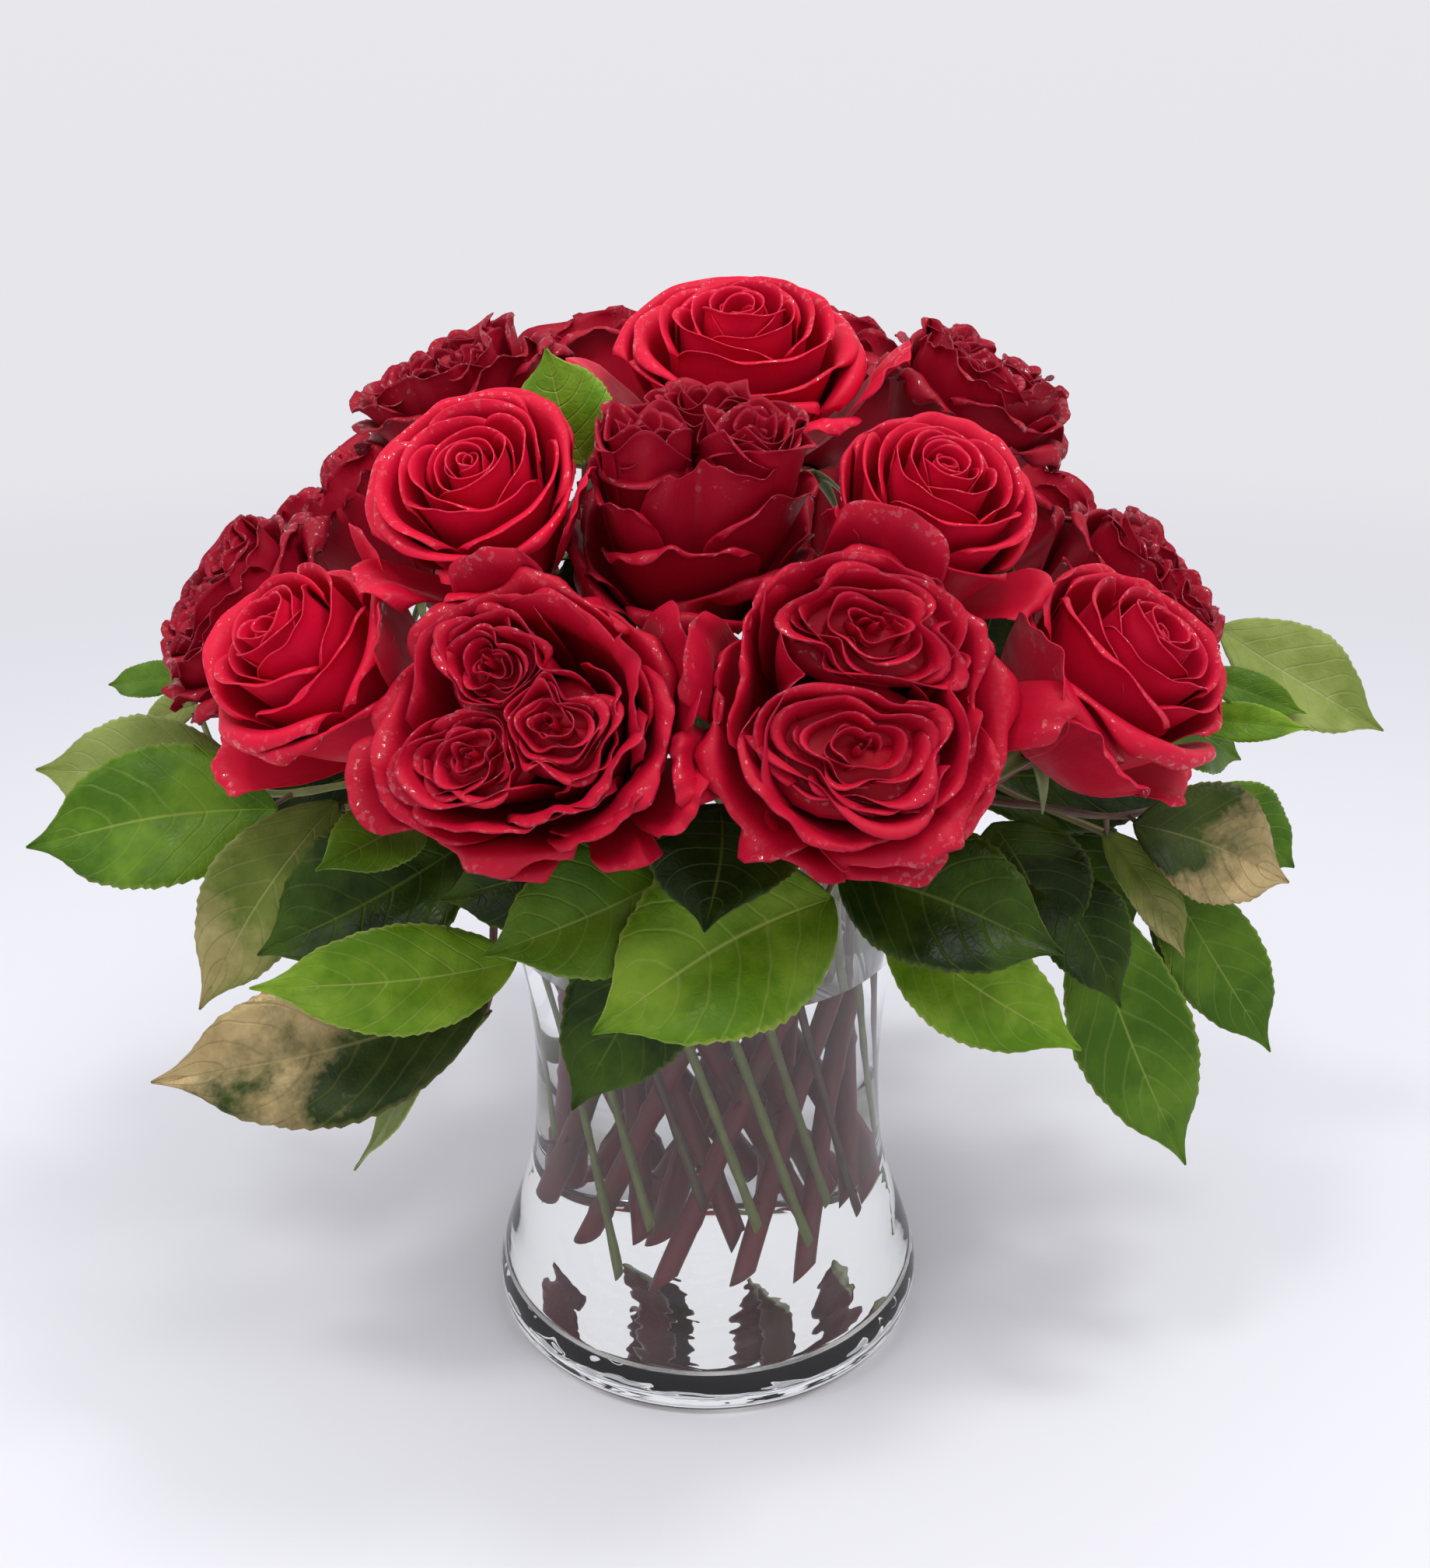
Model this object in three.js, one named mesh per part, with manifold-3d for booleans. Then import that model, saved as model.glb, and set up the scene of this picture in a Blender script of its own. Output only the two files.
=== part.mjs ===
// Roses in a glass vase: 19 cut roses and 15 sprays of foliage standing in water.
// Millimetres, +Z up, +X to the right of the front view, -Y towards the viewer.
// The origin is the centre of the vase's flat bottom.

import * as THREE from 'three';
import { mergeVertices } from 'three/addons/utils/BufferGeometryUtils.js';
import Module from 'manifold-3d';

const wasm = await Module();
wasm.setup();

// Vase: outer radius at heights above the table, from the foot to the rim.
const VASE_OUTLINE = [
  { z: 4, radius: 78.4 },
  { z: 10, radius: 78.9 },
  { z: 18, radius: 77.3 },
  { z: 30, radius: 73.4 },
  { z: 62, radius: 64.2 },
  { z: 95, radius: 62.2 },
  { z: 122, radius: 63.4 },
  { z: 145, radius: 66.9 },
  { z: 175, radius: 71.8 },
  { z: 202, radius: 75.5 },
];
const VASE_HEIGHT = 203;
const FOOT_RADIUS = 73;
const GLASS_WALL = 3.4;
const FLOOR_TOP = 11;
const FLOOR_FILLET = 7;
const VASE_SIDES = 22;

// Water
const WATER_LEVEL = 145;
const GAP = 0.35;
const WALL_GAP = 0.5;

// Stems
const STEM_SIDES = 5;
const TWIG_SIDES = 4;
const BIND_HEIGHT = 105;
const LEAVE_HEIGHT = 188;
const CALYX_LENGTH = 12;
const CALYX_RADIUS = 5;
const SEPAL_REACH = 17;
const SEPAL_DROP = 7;
const SEPAL_THICKNESS = 0.9;
const SEPAL_HEIGHT = -3.6;
const CALYX_NECK_HEIGHT = -6.5;
const BEND_STEPS = 3;
const STEM_TAPER = 0.03;
const TWIG_TAPER = 0.35;
const TWIG_SLANT = 1.5;
const STEM_FAMILIES = {
  low: { ring: 34, twist: 0.36, radius: 3.5 },
  mid: { ring: 19, twist: -0.36, radius: 3.4 },
  top: { ring: 4, twist: 0.2, radius: 3.7 },
  twig: { ring: 50.5, twist: -0.3, radius: 1.7 },
};

// Free petals: shares of the head's radius and height; each next one is wider and opens further.
const PETAL_THICKNESS = 0.8;
const PETAL_ROOT = { radius: 0.58, height: 0.36 };
const PETAL_RIM = { radius: 0.72, radiusGain: 0.14, height: 0.98, heightLoss: 0.2 };
const PETAL_DROOP = { first: 3, gain: 6 };
const PETAL_LEAN = 1.5;
const PETAL_ROUNDING = 0.16;
const PETAL_TURN = 144;
const PETAL_SPREAD = 4.2;
const PETAL_MIDDLE = 0.55;
const PETAL_COLUMNS = 3;
const CUP_SHARE = 0.62;
const KINDS = {
  spiral: { flare: 0.17, wave: 0, lobes: 4, hearts: 0 },
  ruffled: { flare: 0.22, wave: 1.8, lobes: 3, hearts: 0.14 },
};

// The head inside them: rims and valleys of its petal layers, from its side to its heart.
const HEAD_SIDES = 9;
const HEAD_LAYERS = [
  { radius: 0.52, height: 0.16 },
  { radius: 0.68, height: 0.42 },
  { radius: 0.6, height: 0.95, rim: 0.05 },
  { radius: 0.44, height: 0.66 },
  { radius: 0.38, height: 0.99, rim: 0.04 },
  { radius: 0.24, height: 0.7 },
  { radius: 0.17, height: 0.97, rim: 0.02 },
  { radius: 0.06, height: 0.8 },
];
const HEAD_WINDING = { start: 0.94, gain: 0.12 };
const BLOOM_GAP = 0.3;
const SQUEEZE_PASSES = 6;
const SQUEEZE_REACH = 1.4;

// Leaves
const LEAF_THICKNESS = 0.8;
const LEAF_ROWS = [0.14, 0.34, 0.58, 0.8, 1];
const TOOTH = 0.05;
const LEAF_ARCH = 0.06;
const LEAF_FOLD = 0.2;
const FRONT_LIMIT = 30;
const FRONT_FACE = [0, -0.85, 0.53];

// The roses: the middle of each head, the way it faces, its radius, height and turn.
const ROSES = [
  {
    name: 'top', family: 'top', kind: 'spiral',
    at: [10, -12, 332], axis: [0, -0.48, 0.88], radius: 46, height: 54, turn: 20,
  },
  {
    name: 'mid_left', family: 'mid', kind: 'ruffled',
    at: [-72, -4, 320], axis: [-0.4, -0.2, 0.9], radius: 41, height: 50, turn: 50,
  },
  {
    name: 'mid_front_left', family: 'mid', kind: 'spiral',
    at: [-57, -74, 303], axis: [-0.2, -0.62, 0.76], radius: 41, height: 46, turn: 80,
  },
  {
    name: 'mid_front', family: 'mid', kind: 'ruffled',
    at: [-2, -70, 301], axis: [0, -0.3, 0.95], radius: 47, height: 70, turn: 10,
  },
  {
    name: 'mid_front_right', family: 'mid', kind: 'spiral',
    at: [58, -72, 298], axis: [0.2, -0.55, 0.81], radius: 38, height: 54, turn: 140,
  },
  {
    name: 'mid_right', family: 'mid', kind: 'ruffled',
    at: [78, -4, 320], axis: [0.42, -0.15, 0.9], radius: 38, height: 50, turn: 200,
  },
  {
    name: 'mid_back_right', family: 'mid', kind: 'ruffled',
    at: [42, 62, 320], axis: [0.25, 0.42, 0.87], radius: 38, height: 52, turn: 75, outer: 4,
  },
  {
    name: 'mid_back_left', family: 'mid', kind: 'ruffled',
    at: [-40, 62, 320], axis: [-0.25, 0.4, 0.88], radius: 38, height: 52, turn: 260, outer: 4,
  },
  {
    name: 'low_left', family: 'low', kind: 'ruffled',
    at: [-141, -12, 254.5], axis: [-0.75, -0.3, 0.6], radius: 45, height: 54, turn: 30,
  },
  {
    name: 'low_front_left', family: 'low', kind: 'spiral',
    at: [-104, -73, 257], axis: [-0.5, -0.52, 0.7], radius: 40, height: 58, turn: 300,
  },
  {
    name: 'low_front_middle_left', family: 'low', kind: 'ruffled',
    at: [-42, -112, 254], axis: [-0.2, -0.86, 0.46], radius: 49, height: 52, turn: 90,
  },
  {
    name: 'low_front_middle_right', family: 'low', kind: 'ruffled',
    at: [35, -112, 259], axis: [0.12, -0.86, 0.5], radius: 49, height: 52, turn: 270,
  },
  {
    name: 'low_front_right', family: 'low', kind: 'spiral',
    at: [113, -66, 252], axis: [0.5, -0.45, 0.74], radius: 44, height: 58, turn: 150,
  },
  {
    name: 'low_right', family: 'low', kind: 'ruffled',
    at: [132, 2, 260], axis: [0.68, -0.22, 0.7], radius: 42, height: 54, turn: 110,
  },
  {
    name: 'low_back_right', family: 'low', kind: 'ruffled',
    at: [110, 72, 271], axis: [0.6, 0.35, 0.72], radius: 40, height: 54, turn: 170, outer: 4,
  },
  {
    name: 'low_back_middle_right', family: 'low', kind: 'ruffled',
    at: [54, 118, 262], axis: [0.3, 0.75, 0.6], radius: 42, height: 52, turn: 220, outer: 4,
  },
  {
    name: 'low_back_middle_left', family: 'low', kind: 'ruffled',
    at: [-22, 124, 262], axis: [-0.1, 0.8, 0.6], radius: 42, height: 52, turn: 310, outer: 4,
  },
  {
    name: 'low_back_left', family: 'low', kind: 'ruffled',
    at: [-86, 98, 264], axis: [-0.5, 0.62, 0.6], radius: 40, height: 52, turn: 15, outer: 4,
  },
  {
    name: 'low_left_back', family: 'low', kind: 'ruffled',
    at: [-118, 54, 275], axis: [-0.66, 0.2, 0.72], radius: 38, height: 54, turn: 60, outer: 4,
  },
];

// The sprays: where the twig goes after the rim, and its leaves as base, tip, width and roll.
const SPRAYS = [
  {
    name: 'left', azimuth: 190,
    twig: [[-76, -14, 212], [-112, -24, 208], [-140, -24, 204], [-160, -8, 204], [-176, 14, 222]],
    leaves: [
      { base: [-136, -35, 203], tip: [-213, -45, 194], width: 45, roll: 0 },
      { base: [-156, -8, 206], tip: [-222, -12, 208], width: 36, roll: 0 },
      { base: [-176, 15, 222], tip: [-194, 10, 215], width: 12, roll: 0 },
      { base: [-180, 22, 230], tip: [-212, 30, 225], width: 14, roll: 10 },
    ],
  },
  {
    name: 'front_left', azimuth: 208,
    twig: [[-69, -36, 209], [-88, -52, 214], [-108, -60, 213]],
    leaves: [
      { base: [-110, -60, 215], tip: [-151, -82, 157], width: 32, roll: -10 },
      { base: [-70, -62, 204], tip: [-131, -84, 176], width: 40, roll: 0 },
      { base: [-86, -60, 212], tip: [-108, -96, 208], width: 22, roll: 0 },
    ],
  },
  {
    name: 'front_left_low', azimuth: 230,
    twig: [[-50, -56, 210], [-60, -68, 200], [-63, -74, 182], [-64, -74, 162]],
    leaves: [
      { base: [-56, -80, 172], tip: [-126, -108, 178], width: 30, roll: 0 },
      { base: [-66, -72, 156], tip: [-165, -90, 137], width: 44, roll: 0 },
      { base: [-66, -70, 150], tip: [-111, -78, 98], width: 30, roll: 60 },
    ],
  },
  {
    name: 'front', azimuth: 262,
    twig: [[-9, -74, 212], [-8, -86, 206], [-8, -96, 214]],
    leaves: [
      { base: [-8, -88, 205], tip: [-60, -112, 190], width: 36, roll: 0 },
      { base: [-20, -84, 204], tip: [-76, -88, 200], width: 28, roll: 0 },
      { base: [-9, -82, 198], tip: [-39, -102, 135], width: 38, roll: 0 },
      { base: [4, -94, 227], tip: [0, -126, 204], width: 40, roll: 0 },
    ],
  },
  {
    name: 'front_right', azimuth: 288,
    twig: [[24, -74, 212], [34, -86, 204], [46, -84, 196]],
    leaves: [
      { base: [36, -92, 198], tip: [-30, -126, 174], width: 50, roll: 0 },
      { base: [38, -84, 203], tip: [97, -113, 191], width: 40, roll: 0 },
      { base: [52, -80, 188], tip: [107, -104, 156], width: 32, roll: 0 },
    ],
  },
  {
    name: 'right_front_low', azimuth: 315,
    twig: [[54, -54, 212], [76, -62, 206], [98, -58, 196], [114, -54, 186]],
    leaves: [
      { base: [86, -60, 208], tip: [104, -80, 172], width: 36, roll: 0 },
      { base: [117, -55, 183], tip: [152, -74, 97], width: 36, roll: 0 },
      { base: [98, -66, 196], tip: [121, -90, 162], width: 26, roll: 0 },
    ],
  },
  {
    name: 'right_front', azimuth: 325,
    twig: [[63, -43, 209], [98, -44, 208], [128, -44, 204], [160, -24, 204]],
    leaves: [
      { base: [132, -48, 203], tip: [181, -52, 185], width: 36, roll: 0 },
      { base: [162, -22, 204], tip: [194, -24, 178], width: 28, roll: 0 },
      { base: [124, -44, 199], tip: [150, -56, 161], width: 16, roll: 0 },
    ],
  },
  {
    name: 'right_low', azimuth: 350,
    twig: [[74, -14, 211], [106, -22, 200], [138, -32, 188], [146, -28, 172]],
    leaves: [
      { base: [144, -38, 187], tip: [183, -52, 125], width: 30, roll: 0 },
      { base: [147, -25, 169], tip: [180, -30, 120], width: 20, roll: 0 },
      { base: [112, -16, 194], tip: [146, -14, 146], width: 34, roll: 0 },
      { base: [82, -14, 206], tip: [156, -12, 198], width: 36, roll: 0 },
      { base: [83, -28, 238], tip: [91, -36, 284], width: 26, roll: 0 },
    ],
  },
  {
    name: 'right_back', azimuth: 10,
    twig: [[76, 14, 210], [120, 17, 210], [154, 18, 222], [172, 20, 244]],
    leaves: [
      { base: [174, 17, 249], tip: [230, 5, 216], width: 32, roll: 0 },
      { base: [166, 6, 236], tip: [199, -4, 225], width: 14, roll: 0 },
      { base: [160, 2, 222], tip: [197, -14, 223], width: 13, roll: 0 },
      { base: [150, 26, 212], tip: [200, 50, 190], width: 30, roll: 0 },
    ],
  },
  {
    name: 'back_right', azimuth: 50,
    twig: [[50, 58, 212], [78, 84, 208], [100, 98, 202]],
    leaves: [
      { base: [80, 76, 204], tip: [140, 92, 172], width: 34, roll: 0 },
      { base: [102, 100, 200], tip: [156, 130, 178], width: 36, roll: 0 },
      { base: [90, 104, 202], tip: [104, 160, 166], width: 34, roll: 0 },
    ],
  },
  {
    name: 'back', azimuth: 90,
    twig: [[0, 77, 212], [2, 106, 206], [6, 126, 196]],
    leaves: [
      { base: [8, 100, 202], tip: [52, 132, 158], width: 36, roll: 0 },
      { base: [-6, 104, 202], tip: [-44, 136, 160], width: 34, roll: 0 },
      { base: [6, 130, 194], tip: [12, 178, 150], width: 36, roll: 0 },
    ],
  },
  {
    name: 'back_left', azimuth: 135,
    twig: [[-56, 54, 212], [-86, 78, 208], [-108, 94, 200]],
    leaves: [
      { base: [-80, 84, 204], tip: [-84, 138, 164], width: 34, roll: 0 },
      { base: [-110, 96, 198], tip: [-152, 140, 168], width: 36, roll: 0 },
      { base: [-98, 76, 202], tip: [-160, 84, 176], width: 36, roll: 0 },
    ],
  },
  {
    name: 'left_low', azimuth: 165,
    twig: [[-74, 20, 211], [-104, 30, 202], [-130, 40, 192]],
    leaves: [
      { base: [-98, 16, 210], tip: [-158, 4, 186], width: 36, roll: 0 },
      { base: [-132, 42, 190], tip: [-186, 62, 156], width: 34, roll: 0 },
      { base: [-118, 46, 194], tip: [-138, 96, 164], width: 26, roll: 0 },
    ],
  },
  {
    name: 'inner_left', azimuth: 246,
    twig: [[-24, -47, 212], [-33, -46, 255], [-35, -45.5, 300]],
    leaves: [
      { base: [-34, -46, 312], tip: [-44, -47, 344], width: 28, roll: -11 },
      { base: [-33, -47, 292], tip: [-33, -60, 250], width: 24, roll: 0 },
    ],
  },
  {
    name: 'inner_front', azimuth: 275,
    twig: [[5, -66, 212], [3, -78, 224], [-1, -82, 234]],
    leaves: [
      { base: [-2, -82, 236], tip: [-5, -88, 270], width: 30, roll: 0 },
      { base: [5, -79, 228], tip: [38, -84, 217], width: 28, roll: 0 },
      { base: [-3, -81, 230], tip: [-25, -91, 217], width: 22, roll: 0 },
    ],
  },
];

const MATERIALS = {
  glass: { color: '#dfe9e6', roughness: 0.05, metalness: 0 },
  water: { color: '#cfd3d8', roughness: 0.05, metalness: 0 },
  spiral: { color: '#b80d24', roughness: 0.45, metalness: 0 },
  ruffled: { color: '#7d0a1c', roughness: 0.45, metalness: 0 },
  stem: { color: '#6e4650', roughness: 0.5, metalness: 0 },
  leaf: { color: '#3f6b22', roughness: 0.4, metalness: 0 },
};

const degrees = THREE.MathUtils.degToRad;
const vector = (list) => new THREE.Vector3(...list);

// A repeatable number from 0 to 1 for each seed.
function chance(seed) {
  const value = Math.sin(seed * 12.9898 + 4.1) * 43758.5453;
  return value - Math.floor(value);
}

function toSolid(points, triangles) {
  const vertProperties = new Float32Array(points.flatMap((p) => [p.x, p.y, p.z]));
  const triVerts = new Uint32Array(triangles.flat());
  return new wasm.Manifold(new wasm.Mesh({ numProp: 3, vertProperties, triVerts }));
}

function geometryToSolid(geometry) {
  geometry.deleteAttribute('normal');
  geometry.deleteAttribute('uv');
  const merged = mergeVertices(geometry, 1e-4);
  const vertProperties = new Float32Array(merged.attributes.position.array);
  const triVerts = new Uint32Array(merged.index.array);
  return new wasm.Manifold(new wasm.Mesh({ numProp: 3, vertProperties, triVerts }));
}

// The largest closed skin of a solid: a loose scrap is dropped and a sealed hollow is filled.
function largestSkin(solid) {
  const mesh = solid.getMesh();
  const positions = [];
  const stride = mesh.numProp;
  for (let i = 0; i < mesh.vertProperties.length; i += stride) {
    positions.push(new THREE.Vector3(...mesh.vertProperties.slice(i, i + 3)));
  }
  const merge = positions.map((_, i) => i);
  (mesh.mergeFromVert ?? []).forEach((from, k) => { merge[from] = mesh.mergeToVert[k]; });
  const parent = positions.map((_, i) => i);
  const find = (i) => {
    let root = i;
    while (parent[root] !== root) root = parent[root];
    parent[i] = root;
    return root;
  };
  const triangles = [];
  for (let i = 0; i < mesh.triVerts.length; i += 3) {
    const triangle = [0, 1, 2].map((k) => merge[mesh.triVerts[i + k]]);
    triangles.push(triangle);
    parent[find(triangle[1])] = find(triangle[0]);
    parent[find(triangle[2])] = find(triangle[0]);
  }
  const volumes = new Map();
  for (const triangle of triangles) {
    const [a, b, c] = triangle.map((i) => positions[i]);
    const skin = find(triangle[0]);
    volumes.set(skin, (volumes.get(skin) ?? 0) + a.dot(b.clone().cross(c)));
  }
  const largest = [...volumes.entries()].sort((a, b) => b[1] - a[1])[0][0];
  const kept = triangles.filter((triangle) => find(triangle[0]) === largest);
  const geometry = new THREE.BufferGeometry();
  const array = new Float32Array(kept.flatMap((t) => t.flatMap((i) => positions[i].toArray())));
  geometry.setAttribute('position', new THREE.BufferAttribute(array, 3));
  return mergeVertices(geometry, 1e-5);
}

// Triangles between two rows of point numbers that may differ in length.
function joinRows(lower, upper) {
  const triangles = [];
  let i = 0;
  let j = 0;
  while (i < lower.length - 1 || j < upper.length - 1) {
    const nextLower = (i + 1) / Math.max(1, lower.length - 1);
    const nextUpper = (j + 1) / Math.max(1, upper.length - 1);
    const stepLower = j >= upper.length - 1 || (i < lower.length - 1 && nextLower <= nextUpper);
    if (stepLower) {
      triangles.push([lower[i], lower[i + 1], upper[j]]);
      i += 1;
    } else {
      triangles.push([lower[i], upper[j + 1], upper[j]]);
      j += 1;
    }
  }
  return triangles;
}

// An open sheet from rows of points.
function sheet(rows) {
  const points = rows.flat();
  const triangles = [];
  let first = 0;
  for (let r = 0; r + 1 < rows.length; r += 1) {
    const lower = rows[r].map((_, k) => first + k);
    const upper = rows[r + 1].map((_, k) => first + rows[r].length + k);
    triangles.push(...joinRows(lower, upper));
    first += rows[r].length;
  }
  return { points, triangles };
}

// A closed blade: the sheet with half the thickness on each side, both faces split alike.
function thicken({ points, triangles }, thickness) {
  const normals = points.map(() => new THREE.Vector3());
  for (const [a, b, c] of triangles) {
    const side = points[b].clone().sub(points[a]);
    const normal = side.cross(points[c].clone().sub(points[a])).normalize();
    [a, b, c].forEach((i) => normals[i].add(normal));
  }
  normals.forEach((normal) => normal.normalize().multiplyScalar(thickness / 2));
  const front = points.map((p, i) => p.clone().add(normals[i]));
  const back = points.map((p, i) => p.clone().sub(normals[i]));
  const count = points.length;
  const faces = triangles.map((t) => [...t]);
  triangles.forEach(([a, b, c]) => faces.push([count + c, count + b, count + a]));
  const open = new Map();
  for (const t of triangles) {
    for (let k = 0; k < 3; k += 1) {
      const [from, to] = [t[k], t[(k + 1) % 3]];
      if (!open.delete(`${to}_${from}`)) open.set(`${from}_${to}`, [from, to]);
    }
  }
  for (const [from, to] of open.values()) {
    faces.push([to, from, count + from], [to, count + from, count + to]);
  }
  return toSolid([...front, ...back], faces);
}

// Rings of points joined to a closed tube with flat ends; rings may differ in length.
function ringsToSolid(rings) {
  const points = rings.flat();
  const faces = [];
  let first = 0;
  for (let r = 0; r + 1 < rings.length; r += 1) {
    const lower = rings[r].map((_, k) => first + k);
    const upper = rings[r + 1].map((_, k) => first + rings[r].length + k);
    faces.push(...joinRows([...lower, lower[0]], [...upper, upper[0]]));
    first += rings[r].length;
  }
  const end = rings[rings.length - 1].length;
  for (let k = 1; k + 1 < rings[0].length; k += 1) faces.push([0, k + 1, k]);
  for (let k = 1; k + 1 < end; k += 1) faces.push([first, first + k, first + k + 1]);
  return toSolid(points, faces);
}

// Frames along a path that turn as little as possible.
function framesAlong(path) {
  const frames = [];
  let side = new THREE.Vector3(1, 0, 0);
  path.forEach((point, i) => {
    const before = path[Math.max(0, i - 1)];
    const after = path[Math.min(path.length - 1, i + 1)];
    const along = after.clone().sub(before).normalize();
    side = side.clone().addScaledVector(along, -side.dot(along)).normalize();
    frames.push({ point, along, side, up: along.clone().cross(side) });
  });
  return frames;
}

function ring(frame, sides, radius, slant = 0) {
  return Array.from({ length: sides }, (_, k) => {
    const angle = (2 * Math.PI * k) / sides;
    return frame.point.clone()
      .addScaledVector(frame.side, radius * Math.cos(angle))
      .addScaledVector(frame.up, radius * Math.sin(angle))
      .addScaledVector(frame.along, slant * Math.cos(angle));
  });
}

// A point of a stem's straight stretch: every family is a set of lines that pass without meeting.
function lineAt(family, azimuth, z) {
  const { ring: waist, twist } = STEM_FAMILIES[family];
  const reach = LEAVE_HEIGHT - BIND_HEIGHT;
  const turn = Math.atan2(twist * reach, waist);
  const angle = degrees(azimuth) - turn;
  const slide = twist * (z - BIND_HEIGHT);
  return new THREE.Vector3(
    waist * Math.cos(angle) - slide * Math.sin(angle),
    waist * Math.sin(angle) + slide * Math.cos(angle),
    z,
  );
}

// Points on a smooth bend from the straight stretch to an end with a given direction.
function bend(start, startWay, end, endWay, steps) {
  const reach = start.distanceTo(end) * 0.4;
  const curve = new THREE.CubicBezierCurve3(
    start,
    start.clone().addScaledVector(startWay, reach),
    end.clone().addScaledVector(endWay, -reach),
    end,
  );
  return curve.getPoints(steps);
}

// Vase
function innerWall(gap) {
  const corner = VASE_OUTLINE.find(({ z }) => z >= FLOOR_TOP + FLOOR_FILLET).radius - GLASS_WALL - gap;
  return [
    new THREE.Vector2(0, FLOOR_TOP + gap),
    new THREE.Vector2(corner - FLOOR_FILLET, FLOOR_TOP + gap),
    new THREE.Vector2(corner - FLOOR_FILLET / 4, FLOOR_TOP + FLOOR_FILLET / 2 + gap),
    ...VASE_OUTLINE.filter(({ z }) => z >= FLOOR_TOP + FLOOR_FILLET)
      .map(({ z, radius }) => new THREE.Vector2(radius - GLASS_WALL - gap, z)),
  ];
}

function vaseSolid() {
  const rim = VASE_OUTLINE[VASE_OUTLINE.length - 1].radius;
  const profile = [
    new THREE.Vector2(0, 0),
    new THREE.Vector2(FOOT_RADIUS, 0),
    ...VASE_OUTLINE.map(({ z, radius }) => new THREE.Vector2(radius, z)),
    new THREE.Vector2(rim - GLASS_WALL / 4, VASE_HEIGHT),
    new THREE.Vector2(rim - (GLASS_WALL * 3) / 4, VASE_HEIGHT),
    ...innerWall(0).reverse(),
  ];
  return geometryToSolid(new THREE.LatheGeometry(profile, VASE_SIDES).rotateX(Math.PI / 2));
}

// Water with a plain hole for each stem
function waterSolid(holes) {
  const profile = innerWall(WALL_GAP).filter(({ y }) => y <= WATER_LEVEL);
  profile.push(new THREE.Vector2(0, WATER_LEVEL));
  const water = geometryToSolid(new THREE.LatheGeometry(profile, VASE_SIDES).rotateX(Math.PI / 2));
  return holes.reduce((rest, hole) => rest.subtract(hole), water);
}

// Rose stems
function stemPlan(rose, index) {
  const base = vector(rose.at).addScaledVector(rose.axis, -rose.height / 2);
  const azimuth = THREE.MathUtils.radToDeg(Math.atan2(base.y, base.x));
  const family = STEM_FAMILIES[rose.family];
  const foot = lineAt(rose.family, azimuth, 20 + 26 * chance(index + 1));
  const leave = lineAt(rose.family, azimuth, LEAVE_HEIGHT);
  const way = leave.clone().sub(foot).normalize();
  const slant = 3 + 2 * chance(index + 40);
  return { foot, leave, way, base, radius: family.radius, slant, sides: STEM_SIDES };
}

function stemHole(plan) {
  const { foot, way, radius, slant, sides } = plan;
  const below = foot.clone().addScaledVector(way, -GAP * 2);
  const above = foot.clone().addScaledVector(way, WATER_LEVEL / way.z);
  const [low, high] = framesAlong([below, above]);
  const wide = radius + GAP * 1.4;
  return ringsToSolid([
    ring(low, sides, wide, (slant * wide) / radius),
    ring(high, sides, wide),
  ]);
}

function stemSolid(rose, plan) {
  const { foot, leave, way, base, radius, slant, sides } = plan;
  const neck = base.clone().addScaledVector(rose.axis, -CALYX_LENGTH);
  const path = [foot, ...bend(leave, way, neck, rose.axis, BEND_STEPS)];
  const frames = framesAlong([...path, base]);
  const rings = frames.slice(0, path.length).map((frame, i) => (
    ring(frame, sides, radius * (1 - STEM_TAPER * i), i === 0 ? slant : 0)
  ));
  const top = frames[frames.length - 1];
  const star = (height, spread, drop) => Array.from({ length: 2 * STEM_SIDES }, (_, k) => {
    const angle = (Math.PI * k) / STEM_SIDES;
    const tip = k % 2 === 1;
    const reach = tip ? spread : CALYX_RADIUS;
    const lift = height - (tip ? drop : 0);
    return base.clone()
      .addScaledVector(top.side, reach * Math.cos(angle))
      .addScaledVector(top.up, reach * Math.sin(angle))
      .addScaledVector(rose.axis, lift);
  });
  rings.push(star(CALYX_NECK_HEIGHT, CALYX_RADIUS, 0));
  rings.push(star(SEPAL_HEIGHT, SEPAL_REACH, SEPAL_DROP));
  rings.push(star(SEPAL_HEIGHT + SEPAL_THICKNESS, SEPAL_REACH, SEPAL_DROP));
  rings.push(star(-GAP, CALYX_RADIUS, 0));
  return ringsToSolid(rings);
}

// A point of a petal in its bloom's own frame: u from edge to edge, v from root to rim.
function petalPoint(petal, u, v) {
  const rounded = v * (1 - PETAL_ROUNDING * u * u);
  const rim = Math.max(0, (rounded - CUP_SHARE) / (1 - CUP_SHARE));
  const cup = Math.sin((Math.PI / 2) * Math.min(1, rounded / CUP_SHARE)) ** 0.9;
  const wave = petal.wave * v * v;
  const radius = petal.rootRadius + (petal.radius - petal.rootRadius) * cup + petal.flare * rim ** 1.6
    + PETAL_LEAN * u * v + wave * Math.sin(2 * Math.PI * u + petal.phase);
  const angle = petal.angle + u * petal.halfWidth * Math.sin(Math.PI * (0.12 + 0.62 * v)) ** 0.8;
  return new THREE.Vector3(
    radius * Math.cos(angle),
    radius * Math.sin(angle),
    petal.rootHeight + (petal.height - petal.rootHeight) * rounded - petal.droop * rim * rim
      + 0.5 * wave * Math.cos(2 * Math.PI * u + petal.phase),
  );
}

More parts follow.
